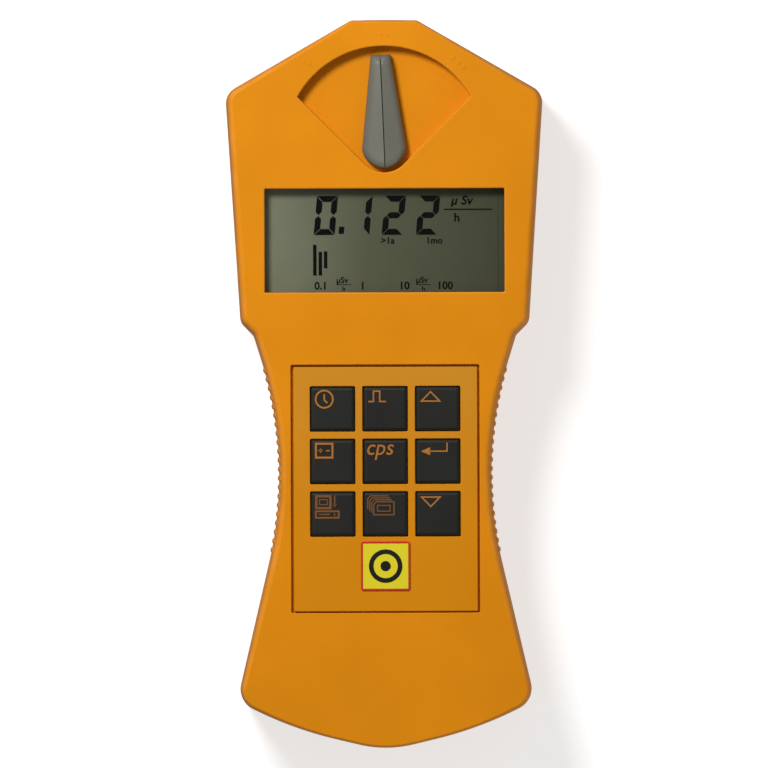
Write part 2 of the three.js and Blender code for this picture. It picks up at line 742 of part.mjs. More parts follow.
const counter = new THREE.Group();

function addPart(parent, name, solid, material, position = [0, 0, 0]) {
  const mesh = new THREE.Mesh(geometryOf(solid), material);
  mesh.name = name;
  mesh.position.set(...position);
  parent.add(mesh);
}

function addGroup(x, y, z) {
  const group = new THREE.Group();
  group.position.set(x, y, z);
  counter.add(group);
  return group;
}

function addCase() {
  addPart(counter, "front_shell", frontShell(), ORANGE);
  addPart(counter, "back_shell", backShell(), ORANGE);
  addPart(counter, "window_grille", windowGrille(), STEEL);
  addPart(
    counter,
    "rear_label",
    slab(LABEL.x, LABEL.y, 0, LABEL.at, LABEL.depth - LABEL.thick, LABEL.depth - 0.05),
    SILVER_LABEL,
  );
  const length = CASE_SCREW.tip - CASE_SCREW.sink - CASE_SCREW.thick;
  CASE_BOSSES.forEach(([x, y], i) => {
    const solid = screw(CASE_SCREW.head, CASE_SCREW.shank, CASE_SCREW.thick, length);
    const seat = CASE_SCREW.sink + CASE_SCREW.thick - 0.1;
    addPart(counter, `case_screw_${i + 1}`, solid, STEEL, [x, y, seat]);
  });
}

function addDisplay() {
  addPart(counter, "display_lens", displayLens(), CLEAR);
  addPart(counter, "lcd_glass", lcdGlass(), LCD_GREEN);
  addPart(counter, "lcd_frame", lcdFrame(), BLACK_PLASTIC);
  addPart(counter, "contact_strip_upper", contactStrip(LCD.y1 - 1), BLACK_RUBBER);
  addPart(counter, "contact_strip_lower", contactStrip(LCD.y0 + 1), BLACK_RUBBER);
}

function addKeypad() {
  addPart(counter, "keypad_panel", keypadPanel(), PANEL_ORANGE);
  addPart(counter, "dome_sheet", domeSheet(), STEEL);
  addPart(counter, "emblem_badge", badge(), BADGE_YELLOW);
  for (const { name, x, y } of KEYS) {
    addPart(counter, name, keyCap(), KEY_BLACK, [x, y, 0]);
  }
}

function addSelector() {
  const selector = addGroup(0, PIVOT_Y, 0);
  selector.rotation.z = LEVER.tilt * DEG;
  addPart(selector, "selector_lever", selectorLever(), LEVER_GREY);
  addPart(selector, "selector_shaft", selectorShaft(), STEEL);
  addPart(selector, "shutter_arm", shutterArm(), WHITE_PLASTIC);
  addPart(selector, "gamma_shield", gammaShield(), ALUMINIUM);
  addPart(selector, "beta_foil", betaFoil(), ALUMINIUM);
  addPart(selector, "selector_washer", selectorWasher(), STEEL);
  addPart(selector, "selector_screw", screw(2.2, 0.85, 0.7, 3.8), STEEL, [0, 0, 20.45]);
  addPart(counter, "detent_spring", detentSpring(), STEEL);
}

function addDetector() {
  const detector = addGroup(0, 0, SEAM_Z);
  addPart(detector, "detector_tube", detectorTube(), STEEL);
  addPart(detector, "tube_window", tubeWindow(), CLEAR);
  addPart(detector, "tube_anode", tubeAnode(), BRASS);
  addPart(detector, "cathode_band", cathodeBand(), BRASS);
  addPart(detector, "tube_saddle_front", tubeSaddle(65.5), BLACK_RUBBER);
  addPart(detector, "tube_saddle_rear", tubeSaddle(33), BLACK_RUBBER);
  const anodeEnd = TUBE.y0 - 4.6;
  const route = [
    [0, anodeEnd - 0.2, SEAM_Z],
    [-0.4, anodeEnd - 2, SEAM_Z + 0.6],
    [-1.6, anodeEnd - 3.6, SEAM_Z + 3.4],
    [-2, anodeEnd - 4, BOARD_UNDER - 0.2],
  ];
  addPart(counter, "anode_lead", wire(route, 0.55), RED_WIRE);
}

function addBoard() {
  addPart(counter, "circuit_board", circuitBoard(), BOARD_GREEN);
  for (const [name, w, l, h, x, y, material] of BOARD_BLOCKS) {
    addPart(counter, name, slab(w, l, x, y, BOARD_UNDER - h, BOARD_UNDER), material);
  }
  addPart(counter, "high_voltage_capacitor", capacitor(4, 8, -13, -5), BLACK_PLASTIC);
  addPart(counter, "supply_capacitor", capacitor(3.1, 7, 14, 8), ALUMINIUM);
  addPart(counter, "buzzer", post(BUZZER.r, BUZZER.z0, BOARD_UNDER, BUZZER.x, BUZZER.y), BLACK_PLASTIC);
  addPart(counter, "usb_socket", usbSocket(), STEEL);
  const length = BOARD_SCREW.tip - BOARD_UNDER;
  BOARD_BOSSES.forEach(([x, y], i) => {
    const solid = screw(BOARD_SCREW.head, BOARD_SCREW.shank, BOARD_SCREW.thick, length);
    addPart(counter, `board_screw_${i + 1}`, solid, STEEL, [x, y, BOARD_UNDER]);
  });
}

function addBattery() {
  addPart(counter, "battery_cell", batteryCell(), CELL_WRAP);
  addPart(counter, "battery_tray", batteryTray(), BLACK_PLASTIC);
  addPart(counter, "battery_contact_positive", batteryContact(CELL_ENDS[1] + 0.5), BRASS);
  addPart(counter, "battery_contact_negative", batteryContact(CELL_ENDS[0] - 0.5), BRASS);
  const lead = (y, toY) => [
    [CELL.x, y, 16.1],
    [CELL.x, y - 0.3, 17.5],
    [CELL.x, y + (toY - y) * 0.5, 18.5],
    [CELL.x, toY, 18.8],
    [CELL.x, toY + 0.1, BOARD_UNDER - 0.1],
  ];
  addPart(counter, "battery_lead_positive", wire(lead(CELL_ENDS[1] + 0.5, -8), 0.45), RED_WIRE);
  addPart(counter, "battery_lead_negative", wire(lead(CELL_ENDS[0] - 0.5, -59), 0.45), BLACK_WIRE);
}

addCase();
addDisplay();
addKeypad();
addSelector();
addDetector();
addBoard();
addBattery();

export default counter;
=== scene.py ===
"""Handheld geiger counter, seen from straight above. Shapes are worked out in millimetres, in the frame of
the CAD model: +Z out of the face, +Y towards the detector end."""

import json
import math

import bmesh
import bpy
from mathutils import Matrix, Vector, geometry


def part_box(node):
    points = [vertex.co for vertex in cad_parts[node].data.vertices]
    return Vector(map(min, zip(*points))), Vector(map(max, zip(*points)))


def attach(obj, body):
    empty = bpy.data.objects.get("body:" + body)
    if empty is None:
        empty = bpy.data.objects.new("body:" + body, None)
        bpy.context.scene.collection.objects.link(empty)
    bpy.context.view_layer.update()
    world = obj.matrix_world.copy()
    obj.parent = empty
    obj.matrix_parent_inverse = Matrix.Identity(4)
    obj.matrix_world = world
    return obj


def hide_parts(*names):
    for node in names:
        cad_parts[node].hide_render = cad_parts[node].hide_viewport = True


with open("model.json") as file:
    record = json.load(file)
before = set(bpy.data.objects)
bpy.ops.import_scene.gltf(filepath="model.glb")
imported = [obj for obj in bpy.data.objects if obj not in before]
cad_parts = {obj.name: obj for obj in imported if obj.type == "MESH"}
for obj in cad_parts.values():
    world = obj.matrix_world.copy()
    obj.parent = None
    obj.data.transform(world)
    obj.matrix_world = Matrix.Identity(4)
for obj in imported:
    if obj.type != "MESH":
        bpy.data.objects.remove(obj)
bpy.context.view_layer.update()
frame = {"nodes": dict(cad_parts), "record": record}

MM = 0.001
TURN = 2 * math.pi


# --- measures from the CAD model


def cad_box(node):
    """(lowest, highest) corner of a CAD node in millimetres."""
    low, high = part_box(node)
    return low / MM, high / MM


def middle(low, high):
    """Centre of a box in plan."""
    return ((low + high) / 2).xy


def pivot_of(joint):
    joints = {j["name"]: j for j in frame["record"]["behaviour"]["joints"]}
    return Vector(joints[joint]["pos_m"]) / MM


SHELL_LOW, SHELL_HIGH = cad_box("front_shell")
BACK_TOP = cad_box("back_shell")[1].z
LCD_LOW, LCD_HIGH = cad_box("lcd_glass")
PANEL_LOW, PANEL_HIGH = cad_box("keypad_panel")
BADGE_LOW, BADGE_HIGH = cad_box("emblem_badge")
LEVER_UNDER = cad_box("selector_lever")[0].z
GRILLE_HALF = cad_box("window_grille")[1].x
LABEL_LOW, LABEL_HIGH = cad_box("rear_label")
USB_LOW, USB_HIGH = cad_box("usb_socket")
PIVOT = pivot_of("selector_turn")

BACK_EDGE_Z = 12.35  # top of the back shell's outer wall
FACE_Z = 29.0
SEAM_Z = (SHELL_LOW.z + BACK_EDGE_Z) / 2
TOP_Y = SHELL_HIGH.y

# Right half of the outline at the seam, from the detector end down to the grip end: x, y, corner radius.
HALF_OUTLINE = [
    (7.4, 81.5, 1.5),
    (35.6, 65.15, 4.0),
    (32.35, 13.8, 3.0),
    (29.4, 10.85, 2.0),
    (20.8, -17.1, 85.0),
    (33.4, -71.0, 5.0),
    (20.35, -77.4, 85.0),
]
GRIP_TIP = (0.0, -82.245, 26.0)
OUTLINE = [(-x, y, r) for x, y, r in HALF_OUTLINE] + [GRIP_TIP] + HALF_OUTLINE[::-1]

DRAFT = 0.5  # how far the sides lean in before the rounded rim
RIM_ROUND = 1.35
RIM_HEIGHT = 2.2
END_START, END_FULL, END_NARROW = 58.0, 80.0, 0.55  # where the rim narrows, and by what share
BORDER = 0.2  # flat strip kept round every edge of the face
RIM_STEPS = 10
SIDE_WALL = 2.2
PLATE = 2.0
PLATE_Z = FACE_Z - PLATE
INNER_INSET = 2.95
BOSS_Z = 27.2  # inner end of the front shell's screw bosses

RIB_COUNT = 21
RIB_FIRST, RIB_PITCH = 3.0, 2.0
RIB_LAST = RIB_FIRST - RIB_PITCH * (RIB_COUNT - 1)
RIB_HALF, RIB_PROUD = 0.62, 0.33
RIB_STEP = 0.13  # spacing of the wall's columns along the ribs
RIB_ENDS = {"front": 24.4, "back": 4.6}

GRILLE_OPENING = 5.2
SEAM_GAP = 0.15  # each shell's edge stops this far from the seam
SEAM_SHUT = GRILLE_HALF + 0.15  # the seam is closed from the grille's opening to here
USB_CLEAR = 0.3

WINDOW = (53.6, 23.2, 32.1)  # width, height, centre's y
WINDOW_CHAMFER = 0.4
POCKET = (42.2, 55.5, -23.4)
POCKET_FLOOR = 27.4
POCKET_UNDER = 26.1
KEY_SIZE = 9.8
KEY_HOLE = 10.12

RECESS_R, RECESS_APEX = 22.25, 6.0
RECESS_FLOOR = 25.4
CUP_UNDER = 23.8
RECESS_STEPS, APEX_STEPS = 60, 16


# --- plan loops


def heading(angle):
    return Vector((math.cos(angle), math.sin(angle)))


def rounded_loop(corners, inset=0.0, small=8, large=1.5):
    """Counter-clockwise corners (x, y, radius), moved inwards by inset and rounded. The number of points
    doesn't depend on the inset. small and large are the steps in degrees for small and large radii."""
    points = []
    for i, (x, y, r) in enumerate(corners):
        corner = Vector((x, y))
        before = (corner - Vector(corners[i - 1][:2])).normalized()
        after = (Vector(corners[(i + 1) % len(corners)][:2]) - corner).normalized()
        turn = math.atan2(before.x * after.y - before.y * after.x, before.dot(after))
        side = 1 if turn > 0 else -1
        radius = max(r - side * inset, 0.05)
        shift = inset / (1 + before.dot(after))
        tip = corner + Vector((-before.y - after.y, before.x + after.x)) * shift
        centre = tip - before * radius * math.tan(abs(turn) / 2)
        centre += Vector((-before.y, before.x)) * side * radius
        steps = max(1, math.ceil(abs(math.degrees(turn)) / (large if r > 20 else small)))
        start = math.atan2(before.y, before.x) - side * math.pi / 2
        for k in range(steps + 1):
            angle = start + turn * k / steps
            points.append(centre + heading(angle) * radius)
    return points


def rectangle(width, height, centre, radius=0.0, inset=0.0):
    """Rounded rectangle, moved inwards by inset. A radius of 0 gives four sharp corners."""
    x, y = centre
    a, b = width / 2, height / 2
    corners = [(x - a, y - b), (x + a, y - b), (x + a, y + b), (x - a, y + b)]
    if not radius:
        return [Vector(corner) for corner in corners]
    return rounded_loop([(*corner, radius) for corner in corners], inset, 15)


def circle(radius, centre=(0.0, 0.0), sides=32):
    x, y = centre
    angles = [TURN * k / sides for k in range(sides)]
    return [Vector((x + radius * math.cos(a), y + radius * math.sin(a))) for a in angles]


def quarter_round(steps, first=1):
    """(inset, drop, angle) of the steps along a quarter circle, from its foot up to its flat top."""
    angles = [math.pi / 2 * k / steps for k in range(first, steps + 1)]
    return [(1 - math.cos(angle), 1 - math.sin(angle), angle) for angle in angles]


def recess_loop(grow):
    """The selector's recess in plan, grown outwards."""
    r, apex = RECESS_R + grow, RECESS_APEX + grow
    corner = math.radians(45) - math.asin(apex / r)
    centre = PIVOT.xy
    arc = [corner + (math.pi - 2 * corner) * k / RECESS_STEPS for k in range(RECESS_STEPS + 1)]
    points = [centre + heading(angle) * r for angle in arc]
    arc = [math.radians(225 + 90 * k / APEX_STEPS) for k in range(APEX_STEPS + 1)]
    return points + [centre + heading(angle) * apex for angle in arc]


# --- mesh builder


class Solid:
    """Rings of points joined by skins and closed by fills, in millimetres."""

    def __init__(self):
        self.points = []
        self.faces = []
        self.flats = []  # the faces that lie in the flat fills
        self.worn_and_highlit = {}  # how far the points on edges are made paler, 0 to 1: partly rubbed by use, partly a painted highlight

    def ring(self, loop, z=None):
        first = len(self.points)
        for i, p in enumerate(loop):
            height = p.z if z is None else (z[i] if isinstance(z, list) else z)
            self.points.append((p.x, p.y, height))
        return list(range(first, len(self.points)))

    # Marks points to be made paler: partly rubbed by use, partly a painted highlight on bright edges.
    def wear_and_highlight(self, ring, amount=1.0):
        self.worn_and_highlit.update(dict.fromkeys(ring, amount))

    def skin(self, *rings, skip=()):
        """Quads between rings of equal length. skip holds the columns to leave open."""
        for a, b in zip(rings, rings[1:]):
            n = len(a)
            for i in range(n):
                if i not in skip:
                    j = (i + 1) % n
                    self.faces.append((a[i], a[j], b[j], b[i]))

    def border(self, a, b):
        """Flat strip between two rings at one height."""
        first = len(self.faces)
        self.skin(a, b)
        self.flats += range(first, len(self.faces))
        return b

    def fill(self, outer, *holes):
        """Flat area inside the outer ring and outside the holes."""
        rings = [outer, *holes]
        index = [i for ring in rings for i in ring]
        polylines = [[Vector((*self.points[i][:2], 0)) for i in ring] for ring in rings]
        for triangle in geometry.tessellate_polygon(polylines):
            self.flats.append(len(self.faces))
            self.faces.append(tuple(index[i] for i in triangle))

    def loft(self, *levels):
        """Closed body over (loop, z) levels."""
        rings = [self.ring(loop, z) for loop, z in levels]
        self.skin(*rings)
        self.fill(rings[0])
        self.fill(rings[-1])

    def lathe(self, profile, centre, sides=32):
        """Closed body round an upright axis. profile goes round (radius, z) and closes on itself, or
        starts and ends at radius 0."""
        if profile[0][0] == 0:
            rings = [self.ring(circle(r, centre, sides), z) for r, z in profile[1:-1]]
            self.skin(*rings)
            self.fill(rings[0])
            self.fill(rings[-1])
        else:
            rings = [self.ring(circle(r, centre, sides), z) for r, z in profile]
            self.skin(*rings, rings[0])

    def mesh(self, name):
        mesh = bpy.data.meshes.new(name)
        mesh.from_pydata([Vector(p) * MM for p in self.points], [], self.faces)
        # Stores the paler edges, rubbed by use and with a painted highlight, for the material.
        wear_and_highlight = mesh.attributes.new("wear_and_highlight", "FLOAT", "POINT")
        for point, amount in self.worn_and_highlit.items():
            wear_and_highlight.data[point].value = amount
        bm = bmesh.new()
        bm.from_mesh(mesh)
        bmesh.ops.recalc_face_normals(bm, faces=bm.faces)
        bm.to_mesh(mesh)
        bm.free()
        return mesh


SHARP = math.radians(35)


def level_flats(mesh, flats):
    """Smooth shading that stays truly flat on the flat faces: the corners round a flat face's points take
    its normal, up to the sharp angle."""
    least = math.cos(SHARP)
    level = {}
    for f in flats:
        for v in mesh.polygons[f].vertices:
            level.setdefault(v, []).append(mesh.polygons[f].normal.copy())
    normals = [c.vector.copy() for c in mesh.corner_normals]
    for polygon in mesh.polygons:
        for corner in polygon.loop_indices:
            for normal in level.get(mesh.loops[corner].vertex_index, ()):
                if polygon.normal.dot(normal) > least:
                    normals[corner] = normal
                    break
    mesh.normals_split_custom_set(normals)


def add_object(name, data):
    obj = bpy.data.objects.new(name, data)
    bpy.context.scene.collection.objects.link(obj)
    return obj


def piece(name, solid, slot, replaces=(), material=None, body="housing", bevel=0):
    """Makes a solid into a shaded object on its body, in its slot's material unless one is given. bevel
    rounds its hard edges, in millimetres."""
    mesh = solid.mesh(name)
    mesh.materials.append(material or SLOT_MATERIALS[slot])
    mesh.polygons.foreach_set("use_smooth", [True] * len(mesh.polygons))
    mesh.set_sharp_from_angle(angle=SHARP)
    obj = add_object(name, mesh)
    if bevel:
        soften(obj, bevel)
    else:
        level_flats(mesh, solid.flats)
    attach(obj, body)
    if replaces:
        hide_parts(*replaces)
    return obj


def soften(obj, width, segments=3, limit=30):
    """Rounds an object's hard edges with modifiers."""
    bevel = obj.modifiers.new("edges", "BEVEL")
    bevel.width = width * MM
    bevel.segments = segments
    bevel.limit_method = "ANGLE"
    bevel.angle_limit = math.radians(limit)
    weighted = obj.modifiers.new("normals", "WEIGHTED_NORMAL")
    weighted.keep_sharp = True
    weighted.weight = 80


# --- materials


def linear(rgb):
    """sRGB 0-255 to a linear RGBA colour."""
    values = [c / 255 for c in rgb]
    return (*(c / 12.92 if c <= 0.04045 else ((c + 0.055) / 1.055) ** 2.4 for c in values), 1.0)


def shade(colour, gain, lift=0.0):
    return (*(min(1.0, gain * c + lift) for c in colour[:3]), 1.0)


class Shader:
    """A node material in the making, with its Principled shader and object coordinates."""

    def __init__(self, name):
        self.material = bpy.data.materials.new(name)
        self.material.use_nodes = True
        self.nodes = self.material.node_tree.nodes
        self.links = self.material.node_tree.links
        self.shader = self.nodes["Principled BSDF"]
        self.coords = self.nodes.new("ShaderNodeTexCoord").outputs["Object"]

    def plug(self, socket, value):
        if isinstance(value, (int, float, tuple)):
            socket.default_value = value
        else:
            self.links.new(value, socket)

    def add(self, kind, outlet, **inputs):
        """Output of a new node with the inputs given, where _ stands for a space."""
        node = self.nodes.new("ShaderNode" + kind)
        for name, value in inputs.items():
            self.plug(node.inputs[name.replace("_", " ")], value)
        return node.outputs[outlet]

    def noise(self, scale, detail=3.0, roughness=0.5, stretch=None):
        coords = self.coords
        if stretch:
            coords = self.add("Mapping", "Vector", Vector=coords, Scale=stretch)
        return self.add("TexNoise", "Fac", Vector=coords, Scale=scale, Detail=detail, Roughness=roughness)

    def ramp(self, value, low, high, start, end):
        sockets = {"From_Min": low, "From_Max": high, "To_Min": start, "To_Max": end}
        return self.add("MapRange", "Result", Value=value, **sockets)

    def product(self, a, b):
        node = self.nodes.new("ShaderNodeMath")
        node.operation = "MULTIPLY"
        self.plug(node.inputs[0], a)
        self.plug(node.inputs[1], b)
        return node.outputs["Value"]

    def mix(self, factor, a, b):
        node = self.nodes.new("ShaderNodeMix")
        node.data_type = "RGBA"
        sockets = [s for s in node.inputs if s.type == "RGBA"]
        self.plug(sockets[0], a)
        self.plug(sockets[1], b)
        self.plug(node.inputs["Factor"], factor)
        return next(s for s in node.outputs if s.type == "RGBA")

    def set(self, socket, value):
        self.plug(self.shader.inputs[socket], value)

    def bump(self, height, strength, distance):
        inputs = {"Height": height, "Strength": strength, "Distance": distance * MM}
        self.set("Normal", self.add("Bump", "Normal", **inputs))


TONE_FROM, TONE_TO = -0.032, 0.004  # where the keypad's panel shifts to a less saturated, yellower colour towards the display, y in metres


def plastic(
    name, rgb, rough=0.45, grain=0.05, size=0.35, shift=0.12, wear_and_highlight=0.0, gloss=0.35, display_end_tone=None, tint=None
):
    """Moulded plastic: fine grain (height and size in millimetres), cloudy colour, varying gloss, and edges
    made paler, partly rubbed by use and partly as a painted highlight. The display end's tone is the colour
    it shifts to nearest the display, tint is the gloss's."""
    s = Shader(name)
    base = linear(rgb)
    dark, pale = shade(base, 1 - shift), shade(base, 1 + shift)
    colour = s.mix(s.ramp(s.noise(45, 4), 0.3, 0.7, 0, 1), dark, pale)
    if display_end_tone:
        # Towards the display end the colour shifts to a less saturated, yellower one.
        y = s.add("SeparateXYZ", "Y", Vector=s.coords)
        colour = s.mix(s.ramp(y, TONE_FROM, TONE_TO, 0, 1), colour, linear(display_end_tone))
    speck = s.ramp(s.noise(2600, 2), 0.35, 0.65, 0, 1)
    colour = s.mix(s.product(speck, 0.35), colour, dark)
    if wear_and_highlight:
        # Marked edges turn paler: partly rubbed by use, partly a painted highlight along the rounded rims and
        # mouths.
        edge = s.nodes.new("ShaderNodeAttribute")
        edge.attribute_name = "wear_and_highlight"
        patchy = s.ramp(s.noise(160, 5), 0.35, 0.65, 0.3 * wear_and_highlight, wear_and_highlight)
        colour = s.mix(s.product(edge.outputs["Fac"], patchy), colour, shade(pale, 1.12, 0.05))
    s.set("Base Color", colour)
    s.set("Roughness", s.ramp(s.noise(90, 5), 0.3, 0.7, rough - 0.06, rough + 0.06))
    s.set("Specular IOR Level", gloss)
    if tint:
        s.set("Specular Tint", tint)
    if grain:
        s.bump(s.noise(1 / (size * MM), 3, 0.6), 0.9, grain)
    return s.material


def metal(name, rgb, rough=0.3, streak=None):
    s = Shader(name)
    base = linear(rgb)
    cloud = s.ramp(s.noise(300, 4, stretch=streak), 0.3, 0.7, 0, 1)
    s.set("Base Color", s.mix(cloud, shade(base, 0.8), base))
    s.set("Metallic", 1.0)
    s.set("Roughness", s.ramp(s.noise(900, 3, stretch=streak), 0.3, 0.7, rough - 0.08, rough + 0.1))
    s.bump(s.noise(2200, 2, stretch=streak), 0.4, 0.01)
    return s.material


def clear(name):
    """Clear window: a dark base that shows only through its low alpha."""
    s = Shader(name)
    cloud = s.ramp(s.noise(60, 3), 0.3, 0.7, 0, 1)
    s.set("Base Color", s.mix(cloud, linear((12, 13, 12)), linear((20, 21, 20))))
    s.set("Alpha", 0.09)
    s.set("IOR", 1.49)
    s.set("Roughness", s.ramp(s.noise(120, 3), 0.3, 0.7, 0.02, 0.07))
    return s.material


def display_painted_reflection(name):
    """Reflective display: grey-green and mottled, with a painted reflection that makes it lighter on the left
    and darker to the right.
    """
    s = Shader(name)
    edge, bend = 0.026, -0.004
    x = s.add("SeparateXYZ", "X", Vector=s.coords)
    # Painted reflection: light at the left, darker past bend, darkest at the right.
    colour = s.mix(s.ramp(x, -edge, bend, 0, 1), linear((134, 140, 116)), linear((94, 98, 75)))
    colour = s.mix(s.ramp(x, bend, edge, 0, 1), colour, linear((70, 74, 52)))
    mottle = s.ramp(s.noise(140, 3), 0.3, 0.7, 0, 0.15)
    s.set("Base Color", s.mix(mottle, colour, linear((84, 88, 68))))
    s.set("Roughness", s.ramp(s.noise(1500, 2), 0.3, 0.7, 0.35, 0.45))
    s.set("Specular IOR Level", 0.25)
    s.bump(s.noise(4000, 1), 0.2, 0.004)
    return s.material


WARM = (1.0, 0.75, 0.45, 1.0)  # tint of the gloss on the orange plastics
CASE = plastic("case_plastic", (217, 134, 6), 0.5, 0.03, 0.4, 0.06, wear_and_highlight=0.55, gloss=0.2, tint=WARM)
# Less saturated, yellower colour of the keypad's panel towards the display.
DISPLAY_END_TONE = (197, 134, 36)
PANEL = plastic("panel_plastic", (208, 131, 8), 0.45, 0.012, 0.25, 0.05, gloss=0.2, display_end_tone=DISPLAY_END_TONE, tint=WARM)
KEY = plastic("key_plastic", (21, 22, 18), 0.5, 0.02, 0.3, 0.12, gloss=0.25)
PRINT = plastic("key_print", (172, 108, 36), 0.5, 0.004, 0.2, 0.1, gloss=0.2)
FINE_PRINT = plastic("key_fine_print", (120, 76, 34), 0.5, 0.004, 0.2, 0.1, gloss=0.2)
LEVER = plastic("lever_plastic", (104, 104, 95), 0.4, 0.012, 0.3, 0.08)
RED = plastic("badge_red", (196, 34, 28), 0.35, 0.004, 0.2, 0.06)
YELLOW = plastic("badge_yellow", (218, 204, 30), 0.32, 0.004, 0.2, 0.05)
INK = plastic("ink_black", (16, 16, 15), 0.4, 0.003, 0.2, 0.15, gloss=0.25)
SEGMENT = plastic("display_segment", (4, 4, 3), 0.5, 0.002, 0.2, 0.15, gloss=0.05)
SLOT_MATERIALS = {
    "case_orange": CASE,
    "panel_orange": PANEL,
    "key_black": KEY,
    "lever_grey": LEVER,
    "badge_yellow": YELLOW,
    "clear_lens": clear("clear_lens"),
    "lcd_glass": display_painted_reflection("display_painted_reflection"),
    "black_plastic": plastic("black_plastic", (34, 34, 36), 0.5, 0.02),
    "black_rubber": plastic("black_rubber", (24, 24, 24), 0.75, 0.03),
    "board_green": plastic("board_mask", (28, 88, 50), 0.35, 0.01, 0.8),
    "white_plastic": plastic("white_plastic", (228, 226, 216), 0.45, 0.02),
    "steel": metal("steel", (196, 198, 202), 0.3),
    "aluminium": metal("aluminium", (206, 209, 213), 0.36, (1, 1, 20)),
    "brass": metal("brass", (196, 158, 78), 0.3),
    "cell_wrap": plastic("cell_wrap", (40, 108, 76), 0.35, 0.006),
    "red_wire": plastic("red_insulation", (178, 36, 34), 0.45, 0.008),
    "black_wire": plastic("black_insulation", (30, 30, 30), 0.45, 0.008),
    "silver_label": plastic("label_film", (190, 193, 190), 0.35, 0.006, 0.2, 0.04),
}


# --- case


def case_columns():
    """(segment, fraction) of each column of the case wall: the outline's own points, close ones along the
    ribs and round the grille's opening, and the socket's two edges."""
    base = rounded_loop(OUTLINE)
    socket = (USB_HIGH.y + USB_CLEAR, USB_LOW.y - USB_CLEAR)
    columns = []
    for i, a in enumerate(base):
        b = base[(i + 1) % len(base)]
        cuts = {0.0}
        low, high = min(a.y, b.y), max(a.y, b.y)
        zone = [RIB_LAST - 1, RIB_FIRST + 1]
        if high > zone[0] and low < zone[1]:
            count = max(1, round((b - a).length / RIB_STEP))
            cuts |= {k / count for k in range(count)}
        if low > TOP_Y - 0.01:
            across = [GRILLE_OPENING * math.cos(math.pi * k / 32) for k in range(33)]
            cuts |= {(x - a.x) / (b.x - a.x) for x in (-SEAM_SHUT, *across, SEAM_SHUT)}
        if a.x < 0 and high - low > 20 and low < socket[1] < high:
            cuts |= {(y - a.y) / (b.y - a.y) for y in socket}
        columns += [(i, t) for t in sorted(cuts) if 0 <= t < 1]
    return base, columns


BASE_LOOP, COLUMNS = case_columns()


def case_loop(inset):
    loop = rounded_loop(OUTLINE, inset)
    return [loop[i].lerp(loop[(i + 1) % len(loop)], t) for i, t in COLUMNS]


def rim_loop(inset):
    """The case's loop for its rim, which is narrower at the two ends."""
    points = []
    for edge, inner in zip(LOOP_SEAM, case_loop(inset)):
        t = min(1.0, max(0.0, (abs(edge.y) - END_START) / (END_FULL - END_START)))
        points.append(edge.lerp(inner, 1 - END_NARROW * t * t * (3 - 2 * t)))
    return points


LOOP_SEAM = case_loop(0)
LOOP_DRAFT = rim_loop(DRAFT)
NORMALS = []
for segment, _ in COLUMNS:
    along = (BASE_LOOP[(segment + 1) % len(BASE_LOOP)] - BASE_LOOP[segment]).normalized()
    NORMALS.append(Vector((along.y, -along.x)))


def rib_height(y):
    """How far the grip stands proud at y."""
    off = min(abs(y - (RIB_FIRST - RIB_PITCH * k)) for k in range(RIB_COUNT)) / RIB_HALF
    return RIB_PROUD * math.sqrt(1 - off * off) if off < 1 else 0.0


RIBS = [rib_height(p.y) for p in LOOP_SEAM]


def opening_edge(x, away, seam):
    """Height of a shell's edge over x at the detector end, where the grille's opening cuts into it."""
    if abs(x) > SEAM_SHUT + 0.01:
        return seam
    cut = math.sqrt(max(0.0, GRILLE_OPENING**2 - x * x))
    return SEAM_Z + away * max(0.01, cut)


